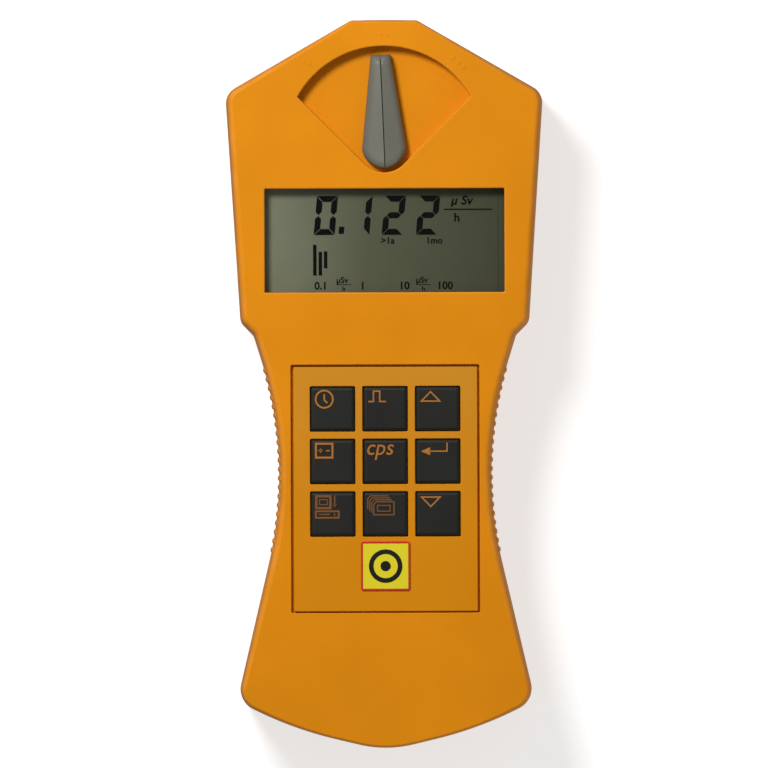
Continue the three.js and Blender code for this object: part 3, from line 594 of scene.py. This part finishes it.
def shell_walls(solid, side):
    """Outer and inner wall of one shell. Returns the rings at the face and at the inside of its plate."""
    front = side == "front"
    away = 1 if front else -1
    seam = SEAM_Z + away * SEAM_GAP
    face = FACE_Z if front else 0.0
    rim = face - away * RIM_HEIGHT
    ends, rib_round = (seam + away * 0.35, RIB_ENDS[side]), 0.7
    at_end = [p.y > TOP_Y - 0.01 for p in LOOP_SEAM]
    edge = [opening_edge(p.x, away, seam) if e else seam for p, e in zip(LOOP_SEAM, at_end)]

    def outer(z, inset=0.0):
        fraction = (z - seam) / (rim - seam)
        centre, half = (ends[0] + ends[1]) / 2, abs(ends[1] - ends[0]) / 2
        reach = 1 - (max(0.0, abs(z - centre) - half + rib_round) / rib_round) ** 2
        swell = math.sqrt(max(0.0, reach))
        loop = []
        for a, b, normal, rib in zip(LOOP_SEAM, LOOP_DRAFT, NORMALS, RIBS):
            loop.append(a.lerp(b, fraction) - normal * inset + normal * rib * swell)
        return solid.ring(loop, [e + (rim - e) * fraction for e in edge])

    socket_low, socket_high = USB_LOW.z - USB_CLEAR, USB_HIGH.z + USB_CLEAR
    chamfer = 0.12
    near = [chamfer, 0.35, 0.42, 0.55, 0.75, 1.05]  # distances from the seam
    heights = [seam + away * d for d in near]
    if front:
        heights += [socket_low, socket_high]
    heights += [ends[1] - away * d for d in (rib_round, 0.45, 0.22, 0.07, 0.0)] + [rim]
    rings = [outer(seam, chamfer)] + [outer(z) for z in heights]
    for inset, drop, angle in quarter_round(RIM_STEPS):
        loop = rim_loop(DRAFT + RIM_ROUND * inset)
        rings.append(solid.ring(loop, face - away * RIM_HEIGHT * drop))
        # The rim's rounding is made paler towards its middle: partly rubbed by use, partly a painted
        # highlight.
        solid.wear_and_highlight(rings[-1], max(0.0, math.sin(2 * angle)))
    # The seam's chamfer is made paler the same way.
    solid.wear_and_highlight(rings[1], 0.5)
    edge_of_face = solid.border(rings[-1], solid.ring(rim_loop(DRAFT + RIM_ROUND + BORDER), face))

    def inner(inset, z):
        fraction = (z - seam) / (rim - seam)
        heights = [e + (rim - e) * fraction if fraction < 1 else z for e in edge]
        return solid.ring(case_loop(inset), heights)

    plate = face - away * PLATE
    if front:
        lip_wall, lip = 1.0, 1.2
        inside = [inner(lip_wall, seam), inner(lip_wall, seam + lip), inner(SIDE_WALL, seam + lip)]
        inside += [inner(SIDE_WALL + 0.1, socket_low), inner(SIDE_WALL + 0.3, socket_high)]
    else:
        # A tongue that runs inside the front shell's lip, but not across the grille.
        tongue_start, tongue = 1.3, 0.9
        blocked = [abs(p.x) < GRILLE_OPENING + 0.6 and e for p, e in zip(LOOP_SEAM, at_end)]
        top = [e if b else seam + tongue for e, b in zip(edge, blocked)]
        inside = [inner(tongue_start, seam)]
        inside += [solid.ring(case_loop(inset), top) for inset in (tongue_start, SIDE_WALL)]
        inside.append(inner(SIDE_WALL, seam - 0.1))
    inside.append(inner(SIDE_WALL + 0.55, plate - away * 1.2))
    inside.append(solid.ring(case_loop(INNER_INSET), plate))

    if front:
        ys = (USB_LOW.y - USB_CLEAR - 0.01, USB_HIGH.y + USB_CLEAR - 0.01)
        holes = [i for i, p in enumerate(LOOP_SEAM) if p.x < -20 and ys[0] < p.y - 0.02 < ys[1] + 0.02]
        opening = range(min(holes), max(holes) + 1)
        walls = []
        for stack, k in ((rings, 1 + len(near)), (inside, 3)):
            solid.skin(*stack[: k + 1])
            solid.skin(*stack[k : k + 2], skip=opening)
            solid.skin(*stack[k + 1 :])
            walls.append(stack[k : k + 2])
        (outer_low, outer_high), (inner_low, inner_high) = walls
        for i in opening:
            solid.faces.append((outer_low[i], outer_low[i + 1], inner_low[i + 1], inner_low[i]))
            solid.faces.append((outer_high[i], outer_high[i + 1], inner_high[i + 1], inner_high[i]))
        for i in (opening[0], opening[-1] + 1):
            solid.faces.append((outer_low[i], outer_high[i], inner_high[i], inner_low[i]))
    else:
        solid.skin(*rings)
        solid.skin(*inside)
    solid.skin(rings[0], inside[0])
    return edge_of_face, inside[-1]


def rounded_mouth(solid, loop_at, round_, depth_z, steps=5):
    """Rings of a hole's rounded mouth in the face and its wall down to depth_z. Returns them all, with the
    flat border round the mouth first."""
    rings = []
    for drop, grow, angle in quarter_round(steps, 0):
        rings.append(solid.ring(loop_at(round_ * grow), FACE_Z - round_ * drop))
        # The mouth's rounding is made paler towards its middle: partly rubbed by use, partly a painted
        # highlight.
        solid.wear_and_highlight(rings[-1], 0.7 * math.sin(2 * angle))
    rings.append(solid.ring(loop_at(0.0), depth_z))
    solid.skin(*rings)
    outer = solid.border(rings[0], solid.ring(loop_at(round_ + BORDER), FACE_Z))
    return [outer] + rings


KEY_BOXES = {}  # each key's body, centre and top
for body, members in frame["record"]["behaviour"]["bodies"].items():
    if members[0].startswith("key_"):
        low, high = cad_box(members[0])
        KEY_BOXES[members[0]] = (body, middle(low, high), high.z)


def screw_centres(prefix):
    names = sorted(n for n in frame["nodes"] if n.startswith(prefix))
    return [(n, middle(*cad_box(n))) for n in names]


def build_front():
    s = Solid()
    face, ceiling = shell_walls(s, "front")
    axis = PIVOT.xy
    # Selector recess, a cup with the shaft's boss under its floor.
    wall_foot, foot_round = 0.25, 0.07
    recess = rounded_mouth(s, recess_loop, 0.35, RECESS_FLOOR + wall_foot)
    foot = s.ring(recess_loop(-foot_round), RECESS_FLOOR + foot_round)
    floor = s.ring(recess_loop(-wall_foot), RECESS_FLOOR)
    s.skin(recess[-1], foot, floor)
    floor = s.border(floor, s.ring(recess_loop(-wall_foot - BORDER), RECESS_FLOOR))
    bore, boss, boss_z, cup_wall = 2.5, 4.4, 22.6, 1.6
    corners = ((bore, RECESS_FLOOR), (bore, boss_z), (boss, boss_z), (boss, CUP_UNDER))
    collar = [s.ring(circle(radius, axis, 40), z) for radius, z in corners]
    s.fill(floor, collar[0])
    s.skin(*collar)
    cup = [s.ring(recess_loop(cup_wall), z) for z in (CUP_UNDER, PLATE_Z)]
    s.fill(cup[0], collar[-1])
    s.skin(*cup)

    # Display opening, and the keypad's pocket with a hole for each key.
    def window_loop(grow):
        return rectangle(*WINDOW[:2], (0, WINDOW[2]), 0.3, -grow)

    window = rounded_mouth(s, window_loop, WINDOW_CHAMFER, PLATE_Z)
    width, height, at = POCKET

    def pocket_loop(grow):
        return rectangle(width, height, (0, at), 0.4, -grow)

    pocket = rounded_mouth(s, pocket_loop, 0.18, POCKET_FLOOR, 3)
    key_loops = [rectangle(KEY_HOLE, KEY_HOLE, c, 0.4) for _, c, _ in KEY_BOXES.values()]
    tops = [s.ring(loop, POCKET_FLOOR) for loop in key_loops]
    lows = [s.ring(loop, POCKET_UNDER) for loop in key_loops]
    for rings in zip(tops, lows):
        s.skin(*rings)
    s.fill(pocket[-1], *tops)
    plate = [s.ring(rectangle(width + 4, height + 4, (0, at)), z) for z in (POCKET_UNDER, PLATE_Z)]
    s.fill(plate[0], *lows)
    s.skin(*plate)
    s.fill(face, recess[0], window[0], pocket[0])
    s.fill(ceiling, cup[-1], window[-1], plate[-1])
    # Screw bosses inside: radius, bore and lower end for each kind of screw.
    bosses = {"case_screw": (3.2, 1.25, SHELL_LOW.z), "board_screw": (2.6, 0.95, 21.4)}
    for kind, (radius, hole, low) in bosses.items():
        for _, c in screw_centres(kind):
            s.lathe([(radius, low), (radius, BOSS_Z), (hole, BOSS_Z), (hole, low)], c)
    # Raised dots that mark the three positions.
    dot_r, pitch, dots_r, sink, proud = 0.5, 1.6, 24.9, 0.2, 0.13
    profile = [(0, -sink), (dot_r, -sink), (dot_r - 0.03, 0.06), (0.33, proud), (0, proud)]
    for place, angle in enumerate((42, 0, -42)):
        radial = heading(math.radians(90 + angle))
        for k in range(place + 1):
            along = Vector((radial.y, -radial.x)) * (k - place / 2) * pitch
            s.lathe([(r, FACE_Z + z) for r, z in profile], axis + radial * dots_r + along, 20)
    piece("case_front", s, "case_orange", ["front_shell"])


def build_back():
    s = Solid()
    face, floor = shell_walls(s, "back")
    outer_holes, inner_holes = [], []

    def hole(levels, centre, sides=32):
        """Round hole through the plate, over (radius, z) levels."""
        rings = [s.ring(circle(radius, centre, sides), z) for radius, z in levels]
        s.skin(*rings)
        outer_holes.append(rings[0])
        inner_holes.append(rings[-1])

    sink, boss, bore, seat = 3.0, 3.7, 1.45, 2.7
    boss_z = BACK_TOP - 0.9
    for _, c in screw_centres("case_screw"):
        hole([(sink + 0.2, 0.0), (sink + 0.05, 0.06), (sink, 0.2), (sink, PLATE)], c)
        s.lathe([(sink, PLATE), (boss, PLATE), (boss, boss_z), (bore, boss_z), (bore, seat), (sink, seat)], c)
    slot, spread = 0.7, 3.4
    for k in range(7):
        outwards = heading(k * TURN / 6) * (spread if k else 0)
        centre = middle(*cad_box("buzzer")) + outwards
        hole([(slot + 0.15, 0.0), (slot, 0.15), (slot, PLATE)], centre, 20)
    size = LABEL_HIGH - LABEL_LOW
    label = [
        s.ring(rectangle(size.x + 0.6, size.y + 0.6, middle(LABEL_LOW, LABEL_HIGH), 1.6, inset), z)
        for inset, z in ((-0.12, 0.0), (0.0, 0.12), (0.0, 0.5))
    ]
    s.skin(*label)
    s.fill(label[-1])
    s.fill(face, label[0], *outer_holes)
    s.fill(floor, *inner_holes)
    piece("case_back", s, "case_orange", ["back_shell"])


build_front()
build_back()


# --- selector lever


def build_lever():
    """Gabled pointer in two mirrored halves. Its outer edges are well rounded, and the fine rounding along
    the ridge leaves a groove between the halves."""
    hub, tip, reach, cut = 5.05, 2.15, 20.3, 18.3
    ridge_z, slope, tip_drop, parting = 29.96, 0.3, 0.65, 0.01
    low, arc_steps = LEVER_UNDER, 20
    outer_round, ridge_share, crease_share = 1.5, 0.16 / 1.5, 0.1
    tilt = math.radians(2.3)
    lean = math.asin(hub / math.hypot(tip, reach)) - math.atan2(tip, reach)
    start = heading(-lean) * hub
    end = Vector((tip, reach))
    s = Solid()
    ridge, creases = set(), []
    for side in (1, -1):
        plan = []
        for k in range(arc_steps + 1):
            angle = math.radians(270) + (math.radians(90) - lean) * k / arc_steps
            plan.append(Vector((hub * math.cos(angle), hub * math.sin(angle))))
        plan.append(start.lerp(end, (cut - start.y) / (end.y - start.y)))
        plan += [end, Vector((0.0, reach)), Vector((0.0, cut))]
        top = [ridge_z - p.x * slope - (tip_drop if p.y > cut + 0.1 else 0.0) for p in plan]
        spots = []
        for p in plan:
            x, y = (p.x + parting) * side, p.y
            turned = (x * math.cos(tilt) - y * math.sin(tilt), x * math.sin(tilt) + y * math.cos(tilt))
            spots.append(Vector(turned) + PIVOT.xy)
        lower, upper = s.ring(spots, low), s.ring(spots, top)
        s.skin(lower, upper)
        s.faces += [tuple(lower), (*upper[:-3], upper[-1]), tuple(upper[-4:])]
        ridge |= {upper[0], upper[-1], upper[-2]}
        creases.append({upper[-4], upper[-1]})
    obj = piece("lever", s, "lever_grey", ["selector_lever"], body="selector", bevel=outer_round)
    obj.modifiers["edges"].limit_method = "WEIGHT"
    obj.modifiers["edges"].segments = 6
    weights = obj.data.attributes.new("bevel_weight_edge", "FLOAT", "EDGE")
    for edge in obj.data.edges:
        ends = set(edge.vertices)
        if min(obj.data.vertices[v].co.z for v in ends) > (low + 0.5) * MM:
            share = crease_share if ends in creases else 1.0
            weights.data[edge.index].value = ridge_share if ends <= ridge else share


# --- strokes and lettering


def stroke(solid, points, width, low, high, closed=False):
    """Flat line of one width along points, as a thin solid between two heights."""
    n = len(points)
    sides = []
    for i, p in enumerate(points):
        before = (p - points[i - 1]).normalized() if i or closed else None
        after = (points[(i + 1) % n] - p).normalized() if i < n - 1 or closed else None
        a, b = before or after, after or before
        across = Vector((-a.y - b.y, a.x + b.x)) / (1 + a.dot(b))
        sides.append(across * width / 2)
    left = [p + d for p, d in zip(points, sides)]
    right = [p - d for p, d in zip(points, sides)]
    if closed:
        rings = [solid.ring(loop, z) for loop, z in ((left, low), (left, high), (right, high), (right, low))]
        solid.skin(*rings, rings[0])
    else:
        patch(solid, right + left[::-1], low, high)


def patch(solid, points, low, high):
    """Flat area with an outline of points, between two heights."""
    solid.loft((points, low), (points, high))


def write(solid, name, text, height, place, thick=0.03, slant=0.0, stretch=1.0, weight=0.025):
    """Adds generic lettering as a thin solid, its lower left corner at place. height is a digit's."""
    curve = bpy.data.curves.new(name, "FONT")
    curve.body = text
    curve.size = height * MM / 0.73
    curve.shear = slant
    curve.offset = weight * curve.size
    curve.extrude = thick * MM / 2
    curve.resolution_u = 3
    obj = add_object(name, curve)
    bpy.context.view_layer.update()
    mesh = bpy.data.meshes.new_from_object(obj.evaluated_get(bpy.context.evaluated_depsgraph_get()))
    bpy.data.objects.remove(obj)
    bm = bmesh.new()
    bm.from_mesh(mesh)
    bmesh.ops.remove_doubles(bm, verts=bm.verts, dist=1e-7)
    first = len(solid.points)
    solid.faces += [tuple(first + v.index for v in f.verts) for f in bm.faces]
    points = [Vector(v.co) / MM for v in bm.verts]
    left = min(p.x for p in points)
    for p in points:
        p.x = (p.x - left) * stretch
        solid.points.append(tuple(p + Vector(place)))
    bm.free()
    bpy.data.meshes.remove(mesh)


# --- keypad


def build_panel():
    s = Solid()
    first, last = PANEL_LOW.xy + Vector((0.3, 0.05)), PANEL_HIGH.xy - Vector((0.18, 0.2))
    size, at = last - first, (first + last) / 2
    low, high, round_ = POCKET_FLOOR + 0.05, PANEL_HIGH.z, 0.18

    def edge(loop_at):
        rings = [s.ring(loop_at(0.0), low), s.ring(loop_at(0.0), high - round_)]
        for inset, drop, _ in quarter_round(3):
            rings.append(s.ring(loop_at(round_ * inset), high - round_ * drop))
        s.skin(*rings)
        return rings[0], rings[-1]

    outer = edge(lambda inset: rectangle(size.x, size.y, at, 0.3, inset))
    holes = [
        edge(lambda inset, c=c: rectangle(KEY_HOLE, KEY_HOLE, c, 0.3, -inset))
        for _, c, _ in KEY_BOXES.values()
    ]
    s.fill(outer[0], *[h[0] for h in holes])
    s.fill(outer[1], *[h[1] for h in holes])
    piece("panel", s, "panel_orange", ["keypad_panel"])


def key_symbol(s, node, corner, z):
    """Line symbol in the key's upper left part. corner is the key's upper left corner, and a symbol's
    points run right and down from it."""
    low, high = z - 0.02, z + 0.025
    lift = 0.2

    def at(x, y):
        return corner + Vector((x, lift - y))

    def path(*points, closed=False, width=0.31):
        stroke(s, [at(*p) for p in points], width, low, high, closed)

    def frame_line(x, y, wide, tall, width):
        path((x, y), (x + wide, y), (x + wide, y + tall), (x, y + tall), closed=True, width=width)

    def area(*points):
        patch(s, [at(*p) for p in points], low, high)

    if node == "key_clock":
        stroke(s, circle(1.92, at(3.05, 2.9), 40), 0.36, low, high, True)
        path((3.05, 1.75), (3.05, 3.05), (3.75, 3.75), width=0.34)
    elif node == "key_pulse":
        path((1.15, 3.45), (2.3, 3.45), (2.3, 1.15), (3.7, 1.15), (3.7, 3.45), (5.1, 3.45))
    elif node == "key_up":
        path((1.25, 3.4), (3.3, 1.3), (5.35, 3.4), closed=True)
    elif node == "key_battery":
        frame_line(1.15, 1.1, 3.7, 3.1, 0.42)
        path((1.75, 2.65), (2.6, 2.65), width=0.26)
        path((2.175, 2.2), (2.175, 3.1), width=0.26)
        path((3.4, 2.65), (4.25, 2.65), width=0.26)
    elif node == "key_rate":
        place = (corner.x + 0.85, corner.y - 3.4, (low + high) / 2)
        write(s, "rate", "cps", 3.65, place, 0.045, slant=0.22, stretch=0.94, weight=0.002)
    elif node == "key_enter":
        path((6.95, 0.95), (6.95, 2.85), (3.0, 2.85), width=0.3)
        area((1.1, 2.85), (3.2, 3.75), (3.2, 1.95))
    elif node == "key_transfer":
        frame_line(1.2, 1.1, 3.15, 2.65, 0.5)
        frame_line(1.9, 1.85, 1.75, 1.1, 0.22)
        frame_line(1.1, 4.45, 5.1, 1.45, 0.4)
        path((1.7, 5.15), (4.2, 5.15), width=0.26)
        path((5.25, 4.9), (5.25, 5.5), width=0.3)
        path((5.3, 0.95), (5.3, 3.1), width=0.3)
        area((4.8, 2.75), (5.3, 3.6), (5.8, 2.75))
    elif node == "key_memory":
        cards, pitch, cut, wide, tall = 4, 0.44, 0.6, 4.55, 2.9
        for k in range(cards):
            x, y = 0.95 + pitch * k, 1.05 + pitch * k
            spots = [(x, y + tall), (x, y + cut), (x + cut, y), (x + wide, y)]
            if k < cards - 1:
                path(*spots, width=0.24)
        path(*spots, (x + wide, y + tall), closed=True, width=0.26)
        frame_line(x + 0.85, y + 0.8, 2.8, 1.3, 0.22)
    else:
        path((1.25, 1.35), (5.35, 1.35), (3.3, 3.45), closed=True)


def build_keys():
    """Caps with a wide flange under the panel and a stem towards the dome, and their symbols."""
    wide, deep = 0.8, 0.5  # the rounding of a cap's edge
    skirt_z, flange, flange_z, stem, chamfer = 25.4, 11.2, (24.7, 25.9), 1.6, 0.3
    for node, (body, at, top) in KEY_BOXES.items():
        s = Solid()
        levels = [(0.0, skirt_z), (0.0, top - deep)]
        levels += [(wide * inset, top - deep * drop) for inset, drop, _ in quarter_round(7)]
        s.loft(*[(rectangle(KEY_SIZE, KEY_SIZE, at, 0.55, inset), z) for inset, z in levels])
        s.loft(*[(rectangle(flange, flange, at, 0.3), z) for z in flange_z])
        low, high = cad_box(node)[0].z, flange_z[0] + 0.5
        s.lathe([(0, low), (stem - chamfer, low), (stem, low + chamfer), (stem, high), (0, high)], at, 20)
        piece(node + "_cap", s, "key_black", [node], body=body)
        symbol = Solid()
        key_symbol(symbol, node, at + Vector((-KEY_SIZE / 2, KEY_SIZE / 2)), top)
        ink = FINE_PRINT if node in ("key_transfer", "key_memory") else PRINT
        piece(node + "_symbol", symbol, "key_black", material=ink, body=body)


def build_badge():
    """Plate with a red frame, a yellow field and a neutral emblem, a ring round a dot."""
    size = BADGE_HIGH.x - BADGE_LOW.x
    at = middle(BADGE_LOW, BADGE_HIGH)
    low, high = BADGE_LOW.z, BADGE_HIGH.z
    corner, wide, gap = 0.55, 0.42, 0.03
    rim = [(0.0, low), (0.0, high - 0.08), (0.08, high)]
    rim += [(wide - 0.05, high), (wide, high - 0.05), (wide, low)]
    border, field, emblem = Solid(), Solid(), Solid()
    rings = [border.ring(rectangle(size, size, at, corner, inset), z) for inset, z in rim]
    border.skin(*rings, rings[0])
    piece("badge_frame", border, "badge_yellow", ["emblem_badge"], RED)
    inner = rectangle(size, size, at, corner, wide + gap)
    field.loft((inner, low), (inner, high - 0.06))
    piece("badge_field", field, "badge_yellow")
    bottom, top = high - 0.1, high - 0.03
    ring_r, ring_hole, dot_r = 3.75, 2.7, 1.15
    emblem.lathe([(ring_r, bottom), (ring_r, top), (ring_hole, top), (ring_hole, bottom)], at, 64)
    emblem.lathe([(0, bottom), (dot_r, bottom), (dot_r, top), (0, top)], at, 40)
    piece("badge_emblem", emblem, "badge_yellow", material=INK)


# --- display

SEGMENTS = {"0": "abcdef", "1": "bc", "2": "abged"}
INK_HIGH = 0.05  # the segments' height above the film


def digit(s, x, y, width, height, shown, z):
    """Seven-segment digit with its lower left corner at x, y, leaning to the right."""
    thick, gap, lean = 1.35, 0.1, 0.09
    half, near = height / 2, thick / 2 + gap
    left, right, roof = thick + gap, width - thick - gap, height - thick
    top = [(gap, height), (left, roof), (right, roof), (width - gap, height)]
    side = [(width, height - gap), (width - thick, roof - gap), (width - thick, half + near)]
    side += [(width - thick / 2, half + gap), (width, half + near)]
    cross = [(near, half), (left, half + thick / 2), (right, half + thick / 2)]
    cross += [(width - near, half), (right, half - thick / 2), (left, half - thick / 2)]

    def mirrored(spots):
        return [(width - a, b) for a, b in spots]

    def below(spots):
        return [(a, height - b) for a, b in spots]

    bars = {"a": top, "b": side, "c": below(side), "d": below(top), "g": cross}
    bars |= {"e": mirrored(bars["c"]), "f": mirrored(side)}
    for letter in shown:
        patch(s, [Vector((x + a + b * lean, y + b)) for a, b in bars[letter]], z, z + INK_HIGH)


def build_display():
    size, at = LCD_HIGH - LCD_LOW, middle(LCD_LOW, LCD_HIGH)
    base, top, chamfer = LCD_LOW.z, LCD_HIGH.z, 0.1
    s = Solid()
    levels = ((chamfer, base), (0.0, base + chamfer), (0.0, top - chamfer), (chamfer, top))
    s.loft(*[(rectangle(size.x, size.y, at, 0.3, inset), z) for inset, z in levels])
    piece("display", s, "lcd_glass", ["lcd_glass"])
    film = Solid()
    film_right, margin, round_ = 25.4, 0.4, 0.05
    width = film_right - LCD_LOW.x - margin
    centre = (film_right - width / 2, at.y)
    z = top + 0.12
    levels = ((0.0, top), (0.0, z - round_), (round_, z))
    film.loft(*[(rectangle(width, size.y - margin, centre, 0.3, inset), h) for inset, h in levels])
    piece("display_film", film, "lcd_glass")

    ink = Solid()
    thin, high = z + INK_HIGH / 2, z + INK_HIGH
    for shown, x in (("0", -15.85), ("1", -8.1), ("2", -0.65), ("2", 7.0)):
        digit(ink, x, 33.35, 4.7, 8.75, SEGMENTS[shown], z)
    point = ((-10.3, 33.6), (-9.1, 33.6), (-8.95, 35.2), (-10.15, 35.2))
    patch(ink, [Vector(p) for p in point], z, high)
    write(ink, "unit", "\u00b5 Sv", 2.05, (14.8, 40.1, thin), slant=0.2)
    stroke(ink, [Vector((13.3, 39.0)), Vector((24.1, 39.0))], 0.28, z, high)
    for text, size, x, y in (("h", 2.0, 15.6, 36.3), (">1a", 1.5, -0.8, 31.4), ("1mo", 1.5, 9.6, 31.4)):
        write(ink, "legend", text, size, (x, y, thin))
    for x, low, upper in ((-15.6, 24.3, 31.2), (-14.38, 24.3, 29.6), (-13.18, 25.9, 29.7)):
        patch(ink, rectangle(0.76, upper - low, (x, (low + upper) / 2)), z, high)
    for text, x in (("0.1", -15.7), ("1", -5.1), ("10", 3.6), ("100", 12.1)):
        write(ink, "scale", text, 1.75, (x, 21.2, thin))
    for x in (-10.75, 7.05):
        write(ink, "scale_unit", "\u00b5Sv", 1.35, (x, 22.65, thin))
        stroke(ink, [Vector((x, 22.25)), Vector((x + 3.2, 22.25))], 0.16, z, high)
        write(ink, "scale_hour", "h", 1.1, (x + 1.3, 20.8, thin))
    piece("display_segments", ink, "lcd_glass", material=SEGMENT)


# --- back and ends


def cross_loop(centre, width, length):
    a, b = width / 2, length / 2
    arm = [(b, -a), (b, a), (a, a)]
    turns = [(1, 0, 0, 1), (0, -1, 1, 0), (-1, 0, 0, -1), (0, 1, -1, 0)]
    return [centre + Vector((x * c + y * d, x * e + y * f)) for c, d, e, f in turns for x, y in arm]


def build_case_screws():
    """Pan-head screws with a cross recess, their heads towards the back."""
    radius, head, dome, shank, tip = 2.7, 2.0, 0.55, 1.2, 0.5
    for node, at in screw_centres("case_screw"):
        low, high = (corner.z for corner in cad_box(node))
        s = Solid()
        levels = [(radius - dome * inset, low + dome * rise) for rise, inset, _ in quarter_round(5, 0)]
        levels += [(radius, low + head), (shank, low + head), (shank, high - 0.8), (tip, high)]
        rings = [s.ring(circle(r, at, 40), z) for r, z in levels]
        s.skin(*rings)
        s.fill(rings[-1])
        mouth = s.ring(cross_loop(at, 0.72, 3.0), low)
        floor = s.ring(cross_loop(at, 0.5, 1.5), low + 1.2)
        s.skin(mouth, floor)
        s.fill(floor)
        s.fill(rings[0], mouth)
        piece(node + "_body", s, "steel", [node])


def build_rear_label():
    """Label film with empty frames and plain bars."""
    size, at = LABEL_HIGH - LABEL_LOW, middle(LABEL_LOW, LABEL_HIGH)
    low, high = LABEL_LOW.z, LABEL_HIGH.z
    s = Solid()
    levels = ((0.06, low), (0.0, low + 0.06), (0.0, high))
    s.loft(*[(rectangle(size.x, size.y, at, 1.4, inset), z) for inset, z in levels])
    piece("rear_label_film", s, "silver_label", ["rear_label"])
    lines = Solid()
    ink = (low - 0.03, low + 0.01)
    stroke(lines, rectangle(size.x - 3, size.y - 3, at, 0.9), 0.3, *ink, closed=True)
    width, left, top = size.x - 8, at.x - size.x / 2 + 4, at.y + size.y / 2 - 5
    for k, reach in enumerate((1.0, 0.72, 0.86)):
        start = Vector((left, top - 3.4 * k))
        stroke(lines, [start, start + Vector((width * reach, 0))], 0.9, *ink)
    stroke(lines, rectangle(width, 6.4, (at.x, at.y - 6.4), 0.5), 0.25, *ink, closed=True)
    piece("rear_label_lines", lines, "silver_label", material=INK)


def build_socket():
    """Data socket: a drawn steel shell round a contact tongue, its mouth towards -X."""
    low, high = USB_LOW, USB_HIGH
    centre = (low + high) / 2

    def section(inset, x):
        loop = rectangle(high.y - low.y, high.z - low.z, (centre.y, centre.z), 1.1, inset)
        return [Vector((x, p.x, p.y)) for p in loop]

    wall, lip, depth = 0.35, 0.12, 5.2
    s = Solid()
    levels = [(0, high.x), (0, low.x + lip), (lip, low.x)]
    levels += [(wall - 0.08, low.x), (wall, low.x + lip), (wall, low.x + depth)]
    rings = [s.ring(section(inset, x)) for inset, x in levels]
    s.skin(*rings)
    s.faces += [tuple(rings[0]), tuple(rings[-1])]
    piece("data_socket_shell", s, "steel", ["usb_socket"])

    def bar(solid, x0, x1, y0, y1, z0, z1):
        spots = ((y0, z0), (y1, z0), (y1, z1), (y0, z1))
        ends = [[Vector((x, centre.y + y, centre.z + z)) for y, z in spots] for x in (x0, x1)]
        rings = [solid.ring(end) for end in ends]
        solid.skin(*rings)
        solid.faces += [tuple(rings[0]), tuple(rings[1])]

    tongue, pins = Solid(), Solid()
    half, under, front, pitch = 2.3, -0.35, low.x + 0.7, 0.8
    bar(tongue, front, low.x + depth - 0.02, -half, half, under, -under)
    piece("data_socket_tongue", tongue, "black_plastic", bevel=0.12)
    for k in range(-2, 3):
        bar(pins, front + 0.3, low.x + 4.5, k * pitch - 0.18, k * pitch + 0.18, under - 0.08, under - 0.01)
    piece("data_socket_pins", pins, "brass")


build_lever()
build_panel()
build_keys()
build_badge()
build_display()
build_case_screws()
build_rear_label()
build_socket()


# --- carried-over CAD nodes

for entry in frame["record"]["subparts"]:
    node = frame["nodes"][entry["node"]]
    node.data.materials.clear()
    node.data.materials.append(SLOT_MATERIALS[entry["material_slot"]])
soften(frame["nodes"]["window_grille"], 0.07, 2)
soften(frame["nodes"]["display_lens"], 0.15)


# --- floor, light and camera


def build_stage():
    """Luminous paper that is seen, but lights nothing and isn't mirrored."""
    mesh = bpy.data.meshes.new("floor")
    half, under, glow = 40.0, 0.2, 0.64
    corners = [(-half, -half, 0), (half, -half, 0), (half, half, 0), (-half, half, 0)]
    mesh.from_pydata(corners, [], [(0, 1, 2, 3)])
    floor = add_object("floor", mesh)
    floor.location.z = -under * MM
    floor.visible_diffuse = False
    floor.visible_glossy = False
    s = Shader("floor_paper")
    s.set("Base Color", (0.5, 0.5, 0.5, 1.0))
    s.set("Roughness", 0.9)
    s.set("Emission Color", (1.0, 1.0, 1.0, 1.0))
    s.set("Emission Strength", glow)
    mesh.materials.append(s.material)


def area_light(name, place, target, size, power, colour=(1, 1, 1)):
    light = bpy.data.lights.new(name, "AREA")
    light.shape = "DISK"
    light.size = size
    light.energy = power
    light.color = colour
    obj = add_object(name, light)
    obj.location = place
    obj.rotation_euler = (Vector(target) - Vector(place)).to_track_quat("-Z", "Y").to_euler()


WORLD_GLOW, HORIZON_GLOW, HORIZON_BAND = 0.32, 0.95, 0.09  # the band is a height, of 1 straight up


def build_light():
    world = bpy.data.worlds.new("studio")
    bpy.context.scene.world = world
    world.use_nodes = True
    nodes, links = world.node_tree.nodes, world.node_tree.links
    nodes["Background"].inputs["Color"].default_value = (1.0, 1.0, 1.0, 1.0)
    # Plain white all round, brighter in a narrow band at the horizon.
    split = nodes.new("ShaderNodeSeparateXYZ")
    links.new(nodes.new("ShaderNodeTexCoord").outputs["Generated"], split.inputs["Vector"])
    height = nodes.new("ShaderNodeMath")
    height.operation = "ABSOLUTE"
    links.new(split.outputs["Z"], height.inputs[0])
    fade = nodes.new("ShaderNodeMapRange")
    for socket, value in zip(fade.inputs[1:5], (0.02, HORIZON_BAND, HORIZON_GLOW, WORLD_GLOW)):
        socket.default_value = value
    links.new(height.outputs["Value"], fade.inputs["Value"])
    links.new(fade.outputs["Result"], nodes["Background"].inputs["Strength"])
    area_light("key_light", (-0.23, 0.335, 0.58), (0, 0, 0), 0.2, 4.05, (1.0, 0.985, 0.96))
    area_light("fill_light", (0.78, -0.5, 0.1), (0, 0, 0.015), 0.15, 1.3)
    bpy.context.scene.view_settings.view_transform = "Standard"


CAMERA_HEIGHT = 6.0
FIELD = 172.1  # millimetres across the picture, at the seam
ROLL = -0.2  # degrees
ASIDE = -0.23  # how far the camera stands to the left, in millimetres


def build_camera():
    camera = bpy.data.cameras.new("camera")
    camera.sensor_width = 36.0
    camera.lens = 36.0 * CAMERA_HEIGHT / (FIELD * MM)
    camera.clip_end = 100.0
    obj = add_object("camera", camera)
    obj.location = (ASIDE * MM, 0.0, CAMERA_HEIGHT + SEAM_Z * MM)
    obj.rotation_euler = (0.0, 0.0, math.radians(ROLL))
    bpy.context.scene.camera = obj


build_stage()
build_light()
build_camera()

bpy.context.view_layer.update()
